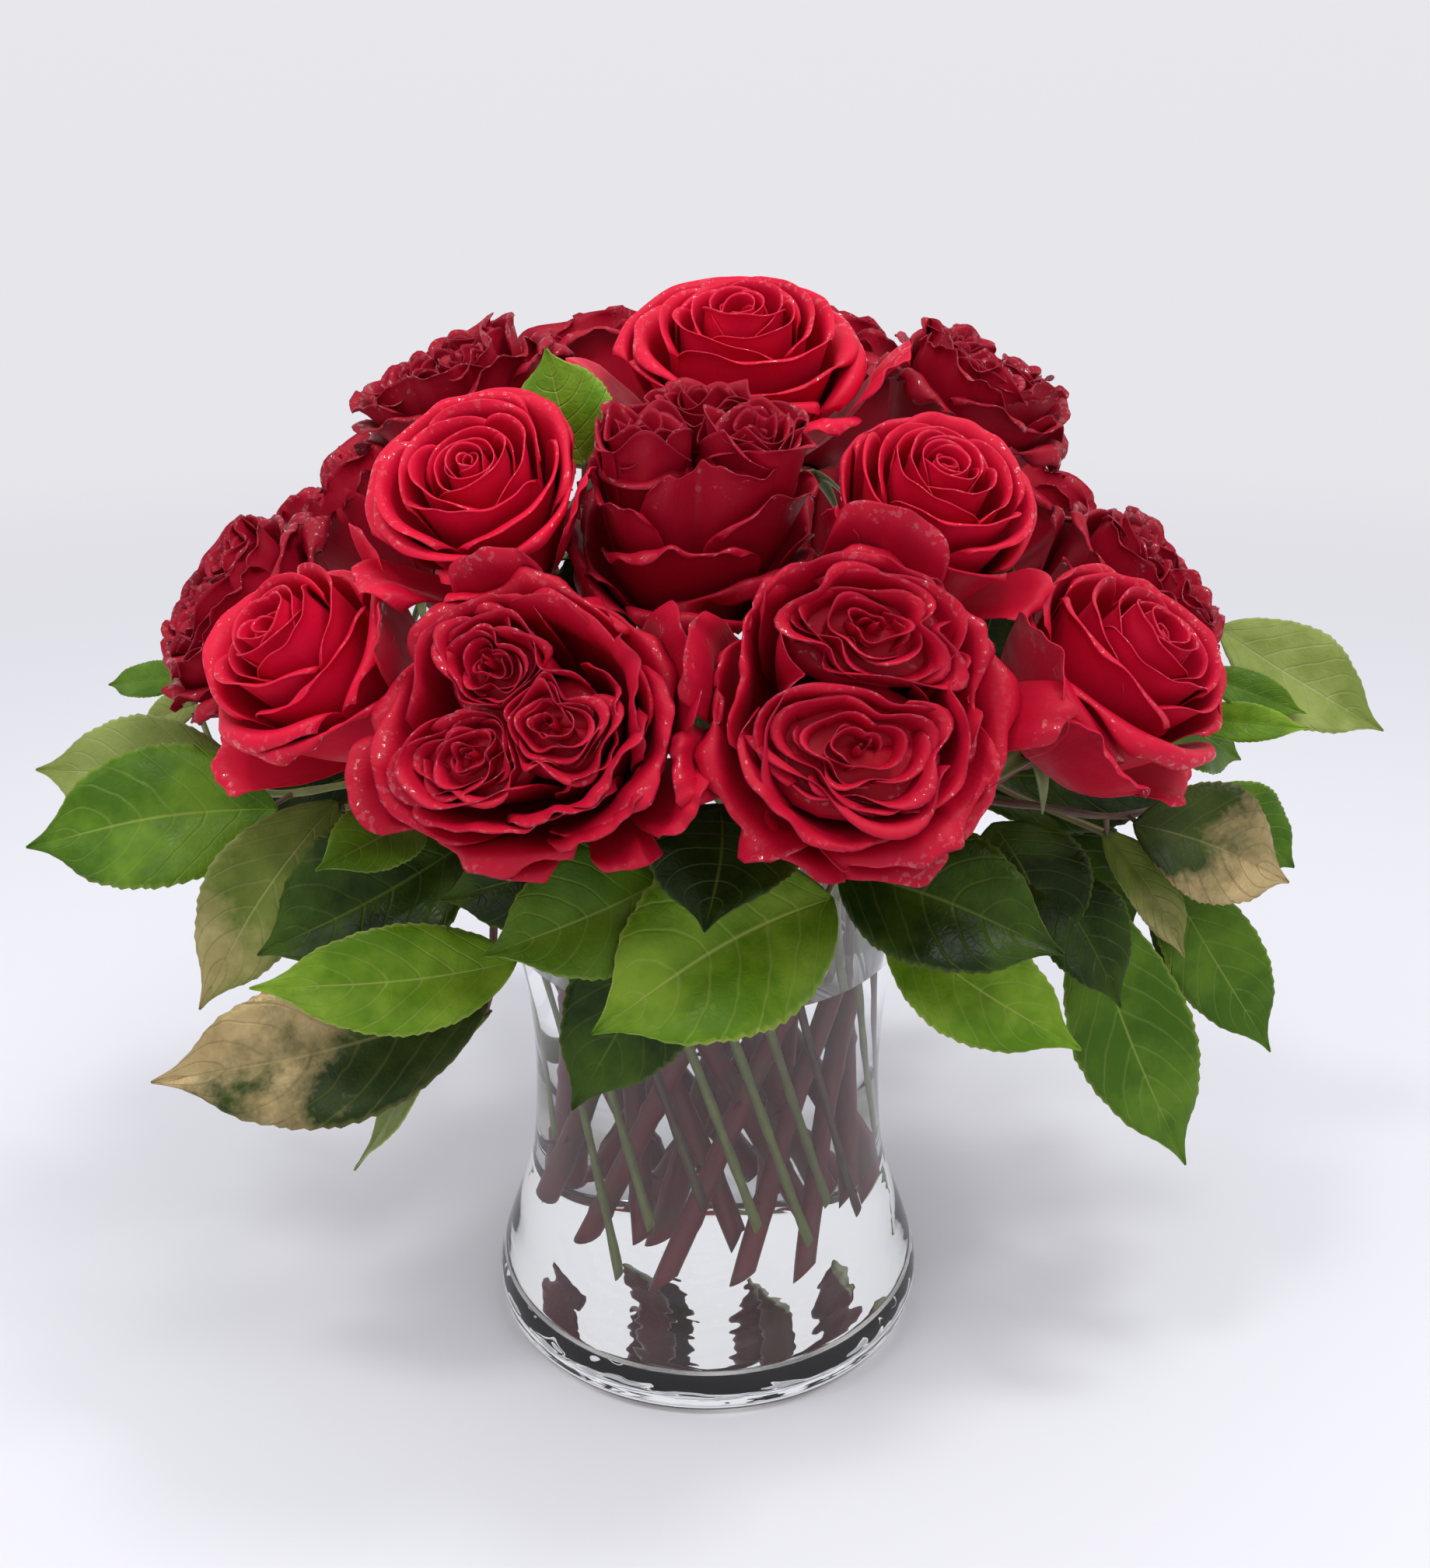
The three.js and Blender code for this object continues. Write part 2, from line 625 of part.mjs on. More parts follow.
// The outer petals stand free round the head.
function outerPetals(rose) {
  const { radius, height, outer, kind } = rose;
  const { flare, wave } = KINDS[kind];
  return Array.from({ length: outer }, (_, k) => {
    const order = k / outer;
    return {
      angle: degrees(PETAL_TURN * k),
      halfWidth: PETAL_SPREAD / outer,
      rootRadius: PETAL_ROOT.radius * radius,
      rootHeight: PETAL_ROOT.height * height,
      radius: (PETAL_RIM.radius + PETAL_RIM.radiusGain * order) * radius,
      height: (PETAL_RIM.height - PETAL_RIM.heightLoss * order) * height,
      flare: flare * radius,
      droop: PETAL_DROOP.first + PETAL_DROOP.gain * order,
      wave,
      phase: 6 * chance(k + rose.turn),
    };
  });
}

// The layers wind outwards, and a ruffled head is drawn in between its three hearts.
function headRings(rose) {
  const { lobes, hearts } = KINDS[rose.kind];
  const around = Array.from({ length: HEAD_SIDES }, (_, k) => (2 * Math.PI * k) / HEAD_SIDES);
  const foot = around.map((angle) => (
    new THREE.Vector3(CALYX_RADIUS * Math.cos(angle), CALYX_RADIUS * Math.sin(angle), 0)
  ));
  const rings = HEAD_LAYERS.map((layer, i) => around.map((angle) => {
    const lobe = (layer.rim ?? 0) * Math.cos(lobes * angle + i);
    const drawn = i > 1 ? 1 + hearts * Math.cos(3 * angle) : 1;
    const wind = HEAD_WINDING.start + (HEAD_WINDING.gain * angle) / (2 * Math.PI);
    const radius = rose.radius * layer.radius * wind * drawn * (1 + lobe);
    const height = rose.height * (layer.height + lobe * 0.6);
    return new THREE.Vector3(radius * Math.cos(angle), radius * Math.sin(angle), height);
  }));
  return [foot, ...rings];
}

function roseFrame(rose) {
  const axis = rose.axis;
  const side = new THREE.Vector3(0, 0, 1).cross(axis);
  if (side.lengthSq() < 1e-6) side.set(1, 0, 0);
  side.normalize();
  const up = axis.clone().cross(side);
  const base = vector(rose.at).addScaledVector(axis, -rose.height / 2);
  return new THREE.Matrix4().makeBasis(side, up, axis).setPosition(base)
    .multiply(new THREE.Matrix4().makeRotationZ(degrees(rose.turn)));
}

// Neighbouring heads press each other flat: each is narrowed towards the plane between them.
function squeeze(points, rose, roses) {
  const centre = vector(rose.at);
  const limits = roses.filter((other) => other !== rose).map((other) => {
    const way = vector(other.at).sub(centre);
    const distance = way.length();
    const share = (distance ** 2 + rose.radius ** 2 - other.radius ** 2) / (2 * distance);
    return { way: way.normalize(), room: share - PETAL_THICKNESS / 2 - BLOOM_GAP };
  }).filter(({ room }) => room < SQUEEZE_REACH * rose.radius);
  for (let pass = 0; pass < SQUEEZE_PASSES; pass += 1) {
    for (const { way, room } of limits) {
      const reaches = points.map((p) => p.clone().sub(centre).dot(way));
      const most = Math.max(...reaches);
      if (most > room) {
        points.forEach((p, i) => {
          if (reaches[i] <= 0) return;
          const share = reaches[i] / most;
          p.addScaledVector(way, -(most - room) * share * share);
        });
      }
    }
  }
}

function bloomSolid(rose, roses) {
  const frame = roseFrame(rose);
  const sheets = outerPetals(rose).map((petal) => {
    const row = (columns, v) => Array.from({ length: columns + 1 }, (_, k) => (
      petalPoint(petal, -1 + (2 * k) / columns, v).applyMatrix4(frame)
    ));
    const root = petalPoint(petal, 0, 0).applyMatrix4(frame);
    return sheet([[root], row(PETAL_COLUMNS - 1, PETAL_MIDDLE), row(PETAL_COLUMNS, 1)]);
  });
  const head = headRings(rose).map((points) => points.map((p) => p.applyMatrix4(frame)));
  squeeze([...sheets.flatMap(({ points }) => points), ...head.slice(1).flat()], rose, roses);
  const blades = sheets.map((petal) => thicken(petal, PETAL_THICKNESS));
  const solid = blades.reduce((whole, blade) => whole.add(blade), ringsToSolid(head));
  return largestSkin(solid);
}

// Foliage
function twigPlan(spray, index) {
  const foot = lineAt('twig', spray.azimuth, 34 + 40 * chance(index + 70));
  const leave = lineAt('twig', spray.azimuth, LEAVE_HEIGHT);
  const way = leave.clone().sub(foot).normalize();
  return { foot, leave, way, radius: STEM_FAMILIES.twig.radius, slant: TWIG_SLANT, sides: TWIG_SIDES };
}

function nearestOn(path, point) {
  let best = { distance: Infinity, place: null };
  for (let i = 0; i + 1 < path.length; i += 1) {
    const place = new THREE.Line3(path[i], path[i + 1]).closestPointToPoint(point, true, new THREE.Vector3());
    const distance = place.distanceTo(point);
    if (distance < best.distance) best = { distance, place };
  }
  return best.place;
}

// A toothed leaf that narrows to its twig, arched along its length and folded along its rib.
function leafSheet(leaf, path) {
  const base = vector(leaf.base);
  const tip = vector(leaf.tip);
  const along = tip.clone().sub(base);
  const length = along.length();
  along.normalize();
  const outward = new THREE.Vector3(base.x, base.y, 0).normalize();
  const face = base.y < FRONT_LIMIT ? vector(FRONT_FACE) : outward.add(new THREE.Vector3(0, 0, 0.7));
  face.addScaledVector(along, -face.dot(along)).normalize().applyAxisAngle(along, degrees(leaf.roll));
  const across = face.clone().cross(along);
  const half = leaf.width / 2;
  const rows = LEAF_ROWS.map((t, i) => {
    const arch = LEAF_ARCH * length * Math.sin(Math.PI * t);
    const rib = base.clone().addScaledVector(along, length * t).addScaledVector(face, arch);
    const shape = Math.sin(Math.PI * t ** 0.85) ** 0.8;
    const tooth = i % 2 === 0 ? TOOTH : -TOOTH;
    const spread = half * shape * (1 + tooth);
    const edge = (sign) => rib.clone().addScaledVector(across, sign * spread)
      .addScaledVector(face, LEAF_FOLD * spread).addScaledVector(along, tooth * length * 0.6);
    return t === 1 ? [rib] : [edge(-1), rib, edge(1)];
  });
  return sheet([[nearestOn(path, base)], ...rows]);
}

function spraySolid(spray, plan) {
  const { foot, leave, radius, slant, sides } = plan;
  const over = new THREE.CatmullRomCurve3([leave, ...spray.twig.map(vector)]);
  const bent = over.getPoints(spray.twig.length + 1);
  const path = [foot, ...bent];
  const frames = framesAlong(path);
  const rings = frames.map((frame, i) => (
    ring(frame, sides, radius * (1 - (TWIG_TAPER * i) / path.length), i === 0 ? slant : 0)
  ));
  const twig = ringsToSolid(rings);
  const blades = spray.leaves.map((leaf) => thicken(leafSheet(leaf, bent), LEAF_THICKNESS));
  return largestSkin(blades.reduce((whole, blade) => whole.add(blade), twig));
}

// The whole bouquet
const group = new THREE.Group();

function addPiece(name, geometry, look) {
  const material = new THREE.MeshStandardMaterial(look);
  const mesh = new THREE.Mesh(geometry, material);
  mesh.name = name;
  group.add(mesh);
}

const roses = ROSES.map((rose) => ({ outer: 5, ...rose, axis: vector(rose.axis).normalize() }));
const stemPlans = roses.map(stemPlan);
const twigPlans = SPRAYS.map(twigPlan);

addPiece('vase', largestSkin(vaseSolid()), MATERIALS.glass);
addPiece('water', largestSkin(waterSolid([...stemPlans, ...twigPlans].map(stemHole))), MATERIALS.water);
roses.forEach((rose, i) => {
  addPiece(`bloom_${rose.name}`, bloomSolid(rose, roses), MATERIALS[rose.kind]);
  addPiece(`stem_${rose.name}`, largestSkin(stemSolid(rose, stemPlans[i])), MATERIALS.stem);
});
SPRAYS.forEach((spray, i) => {
  addPiece(`spray_${spray.name}`, spraySolid(spray, twigPlans[i]), MATERIALS.leaf);
});

export default group;
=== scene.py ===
# Roses in a glass vase: the finished look of every bloom, stem, leaf, the glass and the water.
import math

import bpy
import numpy as np
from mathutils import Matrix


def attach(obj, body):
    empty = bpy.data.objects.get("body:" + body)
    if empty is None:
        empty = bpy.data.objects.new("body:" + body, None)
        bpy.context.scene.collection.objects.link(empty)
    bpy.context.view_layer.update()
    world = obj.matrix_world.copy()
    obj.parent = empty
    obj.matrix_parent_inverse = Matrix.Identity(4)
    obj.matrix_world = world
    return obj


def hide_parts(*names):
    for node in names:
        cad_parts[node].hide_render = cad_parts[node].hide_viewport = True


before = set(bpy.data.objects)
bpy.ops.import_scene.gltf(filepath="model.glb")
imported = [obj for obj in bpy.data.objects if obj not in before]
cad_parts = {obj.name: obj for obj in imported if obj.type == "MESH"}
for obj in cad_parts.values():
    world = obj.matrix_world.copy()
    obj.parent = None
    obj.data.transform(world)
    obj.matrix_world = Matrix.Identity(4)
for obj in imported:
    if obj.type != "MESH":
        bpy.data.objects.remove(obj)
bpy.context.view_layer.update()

MM = 0.001
# Every kind of piece counts its random seeds from a number of its own.
BLOOM_SEED = 5
STEM_SEED = 105
SPRAY_SEED = 205

# Heads that the camera hardly sees have fewer faces; shade is how much darker a head is than its kind.
AT_SIDE = dict(detail=0.8, shade=0.45)
AT_BACK = dict(detail=0.46, shade=0.3)


def head(name, kind, at, axis, radius, height, turn, **more):
    """One rose: the middle of its head, the way it faces, its radius, height and turn, mm and degrees."""
    return dict(name=name, family=name.split("_")[0], kind=kind, at=at, axis=axis, radius=radius,
                height=height, turn=turn, **more)


# Guards are the petals that stand out, as direction, reach, rim height, half width, lip turn and tip.
# Whorls are the rolled hearts, as place across and up, size, stretch and lie.
ROSES = [
    head("top", "spiral", (10, -12, 332), (0, -0.48, 0.88), 46, 54, 20, open=0.5,
         guards=[(196, 52, 34, 22, 18, 0.0), (338, 46, 40, 17, 12, 0.02), (236, 43, 33, 17, 60, 0.05),
                 (300, 42, 34, 17, 60, 0.06)]),
    head("mid_left", "ruffled", (-72, -4, 320), (-0.4, -0.2, 0.9), 41, 50, 50, **AT_SIDE),
    head("mid_front_left", "spiral", (-57, -74, 303), (-0.2, -0.62, 0.76), 41, 46, 80, open=1.0,
         guards=[(352, 42, 42, 15, 20, 0.12), (236, 41, 34, 16, 50, 0.05), (290, 42, 32, 15, 60, 0.05)]),
    head("mid_front", "ruffled", (-2, -70, 301), (0, -0.3, 0.95), 47, 70, 10, low=0.55, shade=0.35,
         whorls=[(-15, -5, 14, 1.1, 0), (14, -4, 14, 1.1, 0), (1, 14, 13, 1.1, 0)],
         guards=[(262, 43, 12, 24, 30, 0.06), (208, 50, 17, 22, 45, 0.06), (328, 49, 18, 22, 45, 0.08),
                 (184, 50, 24, 20, 36, 0.06)]),
    head("mid_front_right", "spiral", (58, -72, 298), (0.2, -0.55, 0.81), 38, 54, 140, open=0.7, shade=0.1,
         guards=[(196, 44, 38, 13, 15, 0.1), (318, 46, 22, 17, 30, 0.08), (250, 42, 28, 15, 60, 0.06)]),
    head("mid_right", "ruffled", (78, -4, 320), (0.42, -0.15, 0.9), 38, 50, 200, **AT_SIDE),
    head("mid_back_right", "ruffled", (42, 62, 320), (0.25, 0.42, 0.87), 38, 52, 75, **AT_BACK),
    head("mid_back_left", "ruffled", (-40, 62, 320), (-0.25, 0.4, 0.88), 38, 52, 260, **AT_BACK),
    head("low_left", "ruffled", (-141, -12, 254.5), (-0.75, -0.3, 0.6), 45, 54, 30, **AT_SIDE),
    head("low_front_left", "spiral", (-104, -73, 257), (-0.5, -0.52, 0.7), 40, 58, 300, open=0.6,
         guards=[(236, 47, 24, 16, 15, 0.16), (28, 43, 42, 17, 22, 0.06), (72, 43, 44, 18, 22, 0.06)]),
    head("low_front_middle_left", "ruffled", (-42, -112, 254), (-0.2, -0.86, 0.46), 49, 52, 90,
         rests_on=[((-0.1, -0.45, -0.88), 39)],
         whorls=[(-7, 11, 12.5, 1.15, 110), (8, -1, 12, 1.0, 0), (-9, -9, 13, 1.15, 15)],
         guards=[(338, 44, 34, 12, 35, 0.05), (310, 40, 30, 9, 40, 0.08), (24, 42, 36, 18, 24, 0.0),
                 (108, 41, 41, 13, 25, 0.06), (205, 42, 36, 16, 30, 0.03), (258, 36, 30, 15, 55, 0.02),
                 (335, 25, 44, 17, 35, 0.0), (300, 23, 44, 15, 35, 0.0), (315, 30, 42, 17, 45, 0.0),
                 (15, 27, 44, 16, 32, 0.0), (80, 25, 44, 15, 32, 0.0)]),
    head("low_front_middle_right", "ruffled", (35, -112, 259), (0.12, -0.86, 0.5), 49, 52, 270,
         whorls=[(4, 15, 15.5, 1.3, 0), (-1, -11, 17, 1.2, 5)],
         guards=[(196, 46, 37, 10, 60, 0.04), (163, 40, 40, 13, 28, 0.0), (284, 37, 30, 15, 50, 0.02),
                 (356, 47, 35, 10, 12, 0.16), (248, 36, 31, 13, 50, 0.03), (70, 42, 42, 16, 22, 0.06)]),
    head("low_front_right", "spiral", (113, -66, 252), (0.5, -0.45, 0.74), 44, 58, 150, open=0.7, shade=0.25,
         guards=[(300, 41, 17, 17, 18, 0.14), (210, 43, 34, 18, 25, 0.06), (168, 47, 42, 20, 16, 0.04)]),
    head("low_right", "ruffled", (132, 2, 260), (0.68, -0.22, 0.7), 42, 54, 110, **AT_SIDE),
    head("low_back_right", "ruffled", (110, 72, 271), (0.6, 0.35, 0.72), 40, 54, 170, **AT_BACK),
    head("low_back_middle_right", "ruffled", (54, 118, 262), (0.3, 0.75, 0.6), 42, 52, 220, **AT_BACK),
    head("low_back_middle_left", "ruffled", (-22, 124, 262), (-0.1, 0.8, 0.6), 42, 52, 310, **AT_BACK),
    head("low_back_left", "ruffled", (-86, 98, 264), (-0.5, 0.62, 0.6), 40, 52, 15, **AT_BACK),
    head("low_left_back", "ruffled", (-118, 54, 275), (-0.66, 0.2, 0.72), 38, 54, 60, **AT_BACK),
]


def foliage(name, azimuth, twig, leaves):
    """A twig after the rim of the vase, and its leaves as base, tip, width, look and, on a few, roll."""
    return dict(name=name, azimuth=azimuth, twig=twig, leaves=leaves)


# A dark look on a leaf is painted shade, for leaves in the shadow of the heads.
SPRAYS = [
    foliage("left", 190,
          [(-76, -14, 212), (-112, -24, 208), (-140, -24, 204), (-160, -8, 204), (-176, 14, 222)], [
        ((-136, -35, 203), (-213, -45, 194), 45, "green"),
        ((-156, -8, 206), (-222, -12, 208), 36, "pale"),
        ((-176, 15, 222), (-194, 10, 215), 12, "pale"),
        ((-180, 22, 230), (-212, 30, 225), 14, "green", 10)]),
    foliage("front_left", 208,
          [(-69, -36, 209), (-88, -52, 214), (-108, -60, 213)], [
        ((-110, -60, 215), (-151, -82, 157), 32, "bronze", -10),
        ((-70, -62, 204), (-131, -84, 176), 44, "dark"),
        ((-86, -60, 212), (-108, -96, 208), 22, "green")]),
    foliage("front_left_low", 230,
          [(-50, -56, 210), (-60, -68, 200), (-63, -74, 182), (-64, -74, 162)], [
        ((-56, -80, 172), (-126, -108, 178), 30, "bright"),
        ((-66, -72, 156), (-165, -90, 137), 44, "gold"),
        ((-66, -70, 150), (-111, -78, 98), 30, "pale", 60)]),
    foliage("front", 262,
          [(-9, -74, 212), (-8, -86, 206), (-8, -96, 214)], [
        ((-8, -88, 205), (-60, -112, 190), 36, "green"),
        ((-20, -84, 204), (-76, -89, 196), 32, "dark"),
        ((-9, -82, 198), (-39, -102, 135), 38, "dark"),
        ((4, -94, 227), (0, -126, 204), 40, "dark")]),
    foliage("front_right", 288,
          [(24, -74, 212), (34, -86, 204), (46, -84, 196)], [
        ((36, -92, 198), (-30, -126, 174), 50, "bright"),
        ((38, -84, 203), (97, -113, 191), 40, "dark"),
        ((52, -80, 188), (107, -104, 156), 32, "bright")]),
    foliage("right_front_low", 315,
          [(54, -54, 212), (76, -62, 206), (98, -58, 196), (114, -54, 186)], [
        ((86, -60, 208), (104, -80, 172), 36, "dark"),
        ((117, -55, 183), (152, -74, 97), 36, "green"),
        ((98, -66, 196), (121, -90, 162), 26, "dark")]),
    foliage("right_front", 325,
          [(63, -43, 209), (98, -44, 208), (128, -44, 204), (160, -24, 204)], [
        ((132, -48, 203), (181, -52, 185), 36, "gold"),
        ((162, -22, 204), (194, -24, 178), 28, "green"),
        ((124, -44, 199), (150, -56, 161), 16, "bronze")]),
    foliage("right_low", 350,
          [(74, -14, 211), (106, -22, 200), (138, -32, 188), (146, -28, 172)], [
        ((144, -38, 187), (183, -52, 125), 30, "green"),
        ((147, -25, 169), (180, -30, 120), 20, "dark"),
        ((112, -16, 194), (146, -14, 146), 34, "dark"),
        ((82, -14, 206), (156, -12, 198), 36, "dark"),
        ((83, -28, 238), (91, -36, 284), 26, "dark")]),
    foliage("right_back", 10,
          [(76, 14, 210), (120, 17, 210), (154, 18, 222), (172, 20, 244)], [
        ((174, 17, 249), (230, 5, 216), 32, "pale"),
        ((166, 6, 236), (199, -4, 225), 14, "green"),
        ((160, 2, 222), (197, -14, 223), 13, "bright"),
        ((150, 26, 212), (200, 50, 190), 30, "green")]),
    foliage("back_right", 50,
          [(50, 58, 212), (78, 84, 208), (100, 98, 202)], [
        ((80, 76, 204), (140, 92, 172), 34, "green"),
        ((102, 100, 200), (156, 130, 178), 36, "dark"),
        ((90, 104, 202), (104, 160, 166), 34, "bright")]),
    foliage("back", 90,
          [(0, 77, 212), (2, 106, 206), (6, 126, 196)], [
        ((8, 100, 202), (52, 132, 158), 36, "green"),
        ((-6, 104, 202), (-44, 136, 160), 34, "bronze"),
        ((6, 130, 194), (12, 178, 150), 36, "bright")]),
    foliage("back_left", 135,
          [(-56, 54, 212), (-86, 78, 208), (-108, 94, 200)], [
        ((-80, 84, 204), (-84, 138, 164), 34, "dark"),
        ((-110, 96, 198), (-152, 140, 168), 36, "green"),
        ((-98, 76, 202), (-160, 84, 176), 36, "gold")]),
    foliage("left_low", 165,
          [(-74, 20, 211), (-104, 30, 202), (-130, 40, 192)], [
        ((-98, 16, 210), (-158, 4, 186), 36, "dark"),
        ((-132, 42, 190), (-186, 62, 156), 34, "green"),
        ((-118, 46, 194), (-138, 96, 164), 26, "green")]),
    foliage("inner_left", 246,
          [(-24, -47, 212), (-33, -46, 255), (-35, -45.5, 300)], [
        ((-34, -46, 312), (-44, -47, 344), 28, "bright", -11),
        ((-33, -47, 292), (-33, -60, 250), 24, "dark")]),
    foliage("inner_front", 275,
          [(5, -66, 212), (3, -78, 224), (-1, -82, 234)], [
        ((-2, -82, 236), (-5, -88, 270), 30, "dark"),
        ((5, -79, 228), (38, -84, 217), 28, "dark"),
        ((-3, -81, 230), (-25, -91, 217), 22, "dark")]),
]

# Stems run as straight lines below the rim: ring radius, sideways lean and thickness, in mm.
STEM_FAMILIES = dict(
    low=dict(ring=34, twist=0.36, radius=3.5),
    mid=dict(ring=19, twist=-0.36, radius=3.4),
    top=dict(ring=4, twist=0.2, radius=3.7),
    twig=dict(ring=50.5, twist=-0.3, radius=1.7),
)
BIND_HEIGHT = 105
LEAVE_HEIGHT = 188
CALYX_LENGTH = 12
# The calyx: how much thicker than the stem it is, from its foot to the base of the head.
CALYX_SWELL = (1.0, 1.15, 1.4, 1.58, 1.6, 1.5, 1.42, 1.35)
STEM_SIDES = 14
TWIG_SIDES = 10
# Points along the straight part, then along the bend (for a twig, along each stretch of it).
STEM_STEPS = (46, 16)
TWIG_STEPS = (30, 8)
# How high above the table a stem or twig is cut: the least, and how much more at most.
STEM_FOOT = (20, 26)
TWIG_FOOT = (34, 40)
THORNS = 5
SEPALS = 5
SEPAL_THICKNESS = 0.6

# Vase and water, in mm: outer radius at heights above the table.
VASE_OUTLINE = [(4, 78.4), (10, 78.9), (18, 77.3), (30, 73.4), (42, 69.1), (62, 64.2), (95, 62.2),
                (122, 63.4), (145, 66.9), (175, 71.8), (202, 75.5)]
VASE_HEIGHT = 203
FOOT_RADIUS = 73
GLASS_WALL = 3.4
FLOOR_TOP = 11
FLOOR_FILLET = 7
WATER_LEVEL = 145
WATER_OVERLAP = 0.15
TURNED_SIDES = 96
GLASS_IOR = 1.5
WATER_IOR = 1.33
FOOT_STREAKS = 0.14

FRONT_FACE = (0, -0.85, 0.53)
FRONT_LIMIT = 30
LEAF_ARCH = 0.06
LEAF_FOLD = 0.2


def unit(v):
    v = np.asarray(v, float)
    return v / np.linalg.norm(v)


def chance(seed):
    """An even spread from 0 to 1 that the solids have too, so both cut a stem alike."""
    value = math.sin(seed * 12.9898 + 4.1) * 43758.5453
    return value - math.floor(value)


def smooth_step(x):
    x = np.clip(x, 0, 1)
    return x * x * (3 - 2 * x)


# Mesh building
class Piece:
    """Points, faces and their marks, gathered before they become one mesh."""

    def __init__(self):
        self.points = []
        self.faces = []
        self.maps = []
        self.tones = []
        self.slots = []
        self.count = 0

    def add(self, points, faces, uv, tone, slot):
        self.points.append(points)
        self.faces.append(faces + self.count)
        self.maps.append(uv)
        self.tones.append(np.broadcast_to(np.asarray(tone, float), (len(points), 3)))
        self.slots.append(np.broadcast_to(np.asarray(slot, int), (len(faces),)))
        self.count += len(points)

    def add_sheet(self, grid, thickness, tone, front_slot=0, back_slot=None):
        """A closed blade round a grid of mid points, rows along the first axis."""
        rows, columns = grid.shape[:2]
        along = np.gradient(grid, axis=0)
        across = np.gradient(grid, axis=1)
        normals = np.cross(across, along)
        lengths = np.linalg.norm(normals, axis=2, keepdims=True)
        normals = normals / np.maximum(lengths, 1e-9)
        front = (grid + normals * thickness / 2).reshape(-1, 3)
        back = (grid - normals * thickness / 2).reshape(-1, 3)
        number = np.arange(rows * columns).reshape(rows, columns)
        a, b = number[:-1, :-1].ravel(), number[:-1, 1:].ravel()
        c, d = number[1:, 1:].ravel(), number[1:, :-1].ravel()
        total = rows * columns
        faces_front = np.stack([a, b, c, d], 1)
        faces_back = np.stack([d, c, b, a], 1) + total
        edge = np.concatenate([number[0, :], number[1:, -1], number[-1, -2::-1], number[-2:0:-1, 0]])
        after = np.roll(edge, -1)
        faces_rim = np.stack([after, edge, edge + total, after + total], 1)
        v_grid, u_grid = np.meshgrid(np.linspace(0, 1, rows), np.linspace(0, 1, columns), indexing="ij")
        uv = np.stack([u_grid.ravel(), v_grid.ravel()], 1)
        back_slot = front_slot if back_slot is None else back_slot
        slots = np.concatenate([np.full(len(faces_front), front_slot), np.full(len(faces_back), back_slot),
                                np.full(len(faces_rim), front_slot)])
        faces = np.concatenate([faces_front, faces_back, faces_rim])
        self.add(np.concatenate([front, back]), faces, np.concatenate([uv, uv]), tone, slots)

    def add_tube(self, rings, tone, slot=0, cap_slot=None):
        """A closed tube through rings of points, with fan-shaped ends."""
        rings = np.asarray(rings)
        count, sides = rings.shape[:2]
        points = rings.reshape(-1, 3)
        number = np.arange(count * sides).reshape(count, sides)
        after = np.roll(number, -1, axis=1)
        faces = np.stack([number[:-1], after[:-1], after[1:], number[1:]], -1).reshape(-1, 4)
        around, along = np.meshgrid(np.arange(sides) / sides, np.linspace(0, 1, count), indexing="xy")
        uv = np.stack([around.ravel(), along.ravel()], 1)
        first, last = len(points), len(points) + 1
        middle = np.stack([rings[0].mean(0), rings[-1].mean(0)])
        points = np.concatenate([points, middle])
        uv = np.concatenate([uv, [[0.5, 0], [0.5, 1]]])
        low = np.stack([np.full(sides, first), after[0], number[0], np.full(sides, first)], 1)
        high = np.stack([np.full(sides, last), number[-1], after[-1], np.full(sides, last)], 1)
        cap_slot = slot if cap_slot is None else cap_slot
        slots = np.concatenate([np.full(len(faces), slot), np.full(sides, cap_slot), np.full(sides, slot)])
        self.add(points, np.concatenate([faces, low, high]), uv, tone, slots)

    def build(self, name, materials, replaces):
        """One mesh that rides on the body and stands for its solids."""
        gathered = (self.points, self.faces, self.maps, self.tones, self.slots)
        points, faces, uv, tones, slots = map(np.concatenate, gathered)
        lists = [face[:3] if face[0] == face[3] else face for face in faces.tolist()]
        mesh = bpy.data.meshes.new(name)
        mesh.from_pydata((points * MM).tolist(), [], lists)
        corners = np.empty(len(mesh.loops), int)
        mesh.loops.foreach_get("vertex_index", corners)
        layer = mesh.uv_layers.new(name="place")
        layer.data.foreach_set("uv", uv[corners].ravel())
        colour = mesh.color_attributes.new(name="tone", type="FLOAT_COLOR", domain="POINT")
        colour.data.foreach_set("color", np.concatenate([tones, np.ones((len(tones), 1))], 1).ravel())
        mesh.polygons.foreach_set("material_index", slots)
        mesh.polygons.foreach_set("use_smooth", np.ones(len(lists), bool))
        for material in materials:
            mesh.materials.append(material)
        mesh.update()
        piece = bpy.data.objects.new(name, mesh)
        bpy.context.scene.collection.objects.link(piece)
        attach(piece, "root")
        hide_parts(*replaces)
        return piece


# Roses
def rose_frame(rose):
    """The base of a head and its own three directions."""
    axis = unit(rose["axis"])
    side = unit(np.cross((0, 0, 1), axis))
    up = np.cross(axis, side)
    base = np.array(rose["at"], float) - axis * rose["height"] / 2
    turn = math.radians(rose["turn"])
    x_axis = side * math.cos(turn) + up * math.sin(turn)
    y_axis = -side * math.sin(turn) + up * math.cos(turn)
    return base, np.stack([x_axis, y_axis, axis])


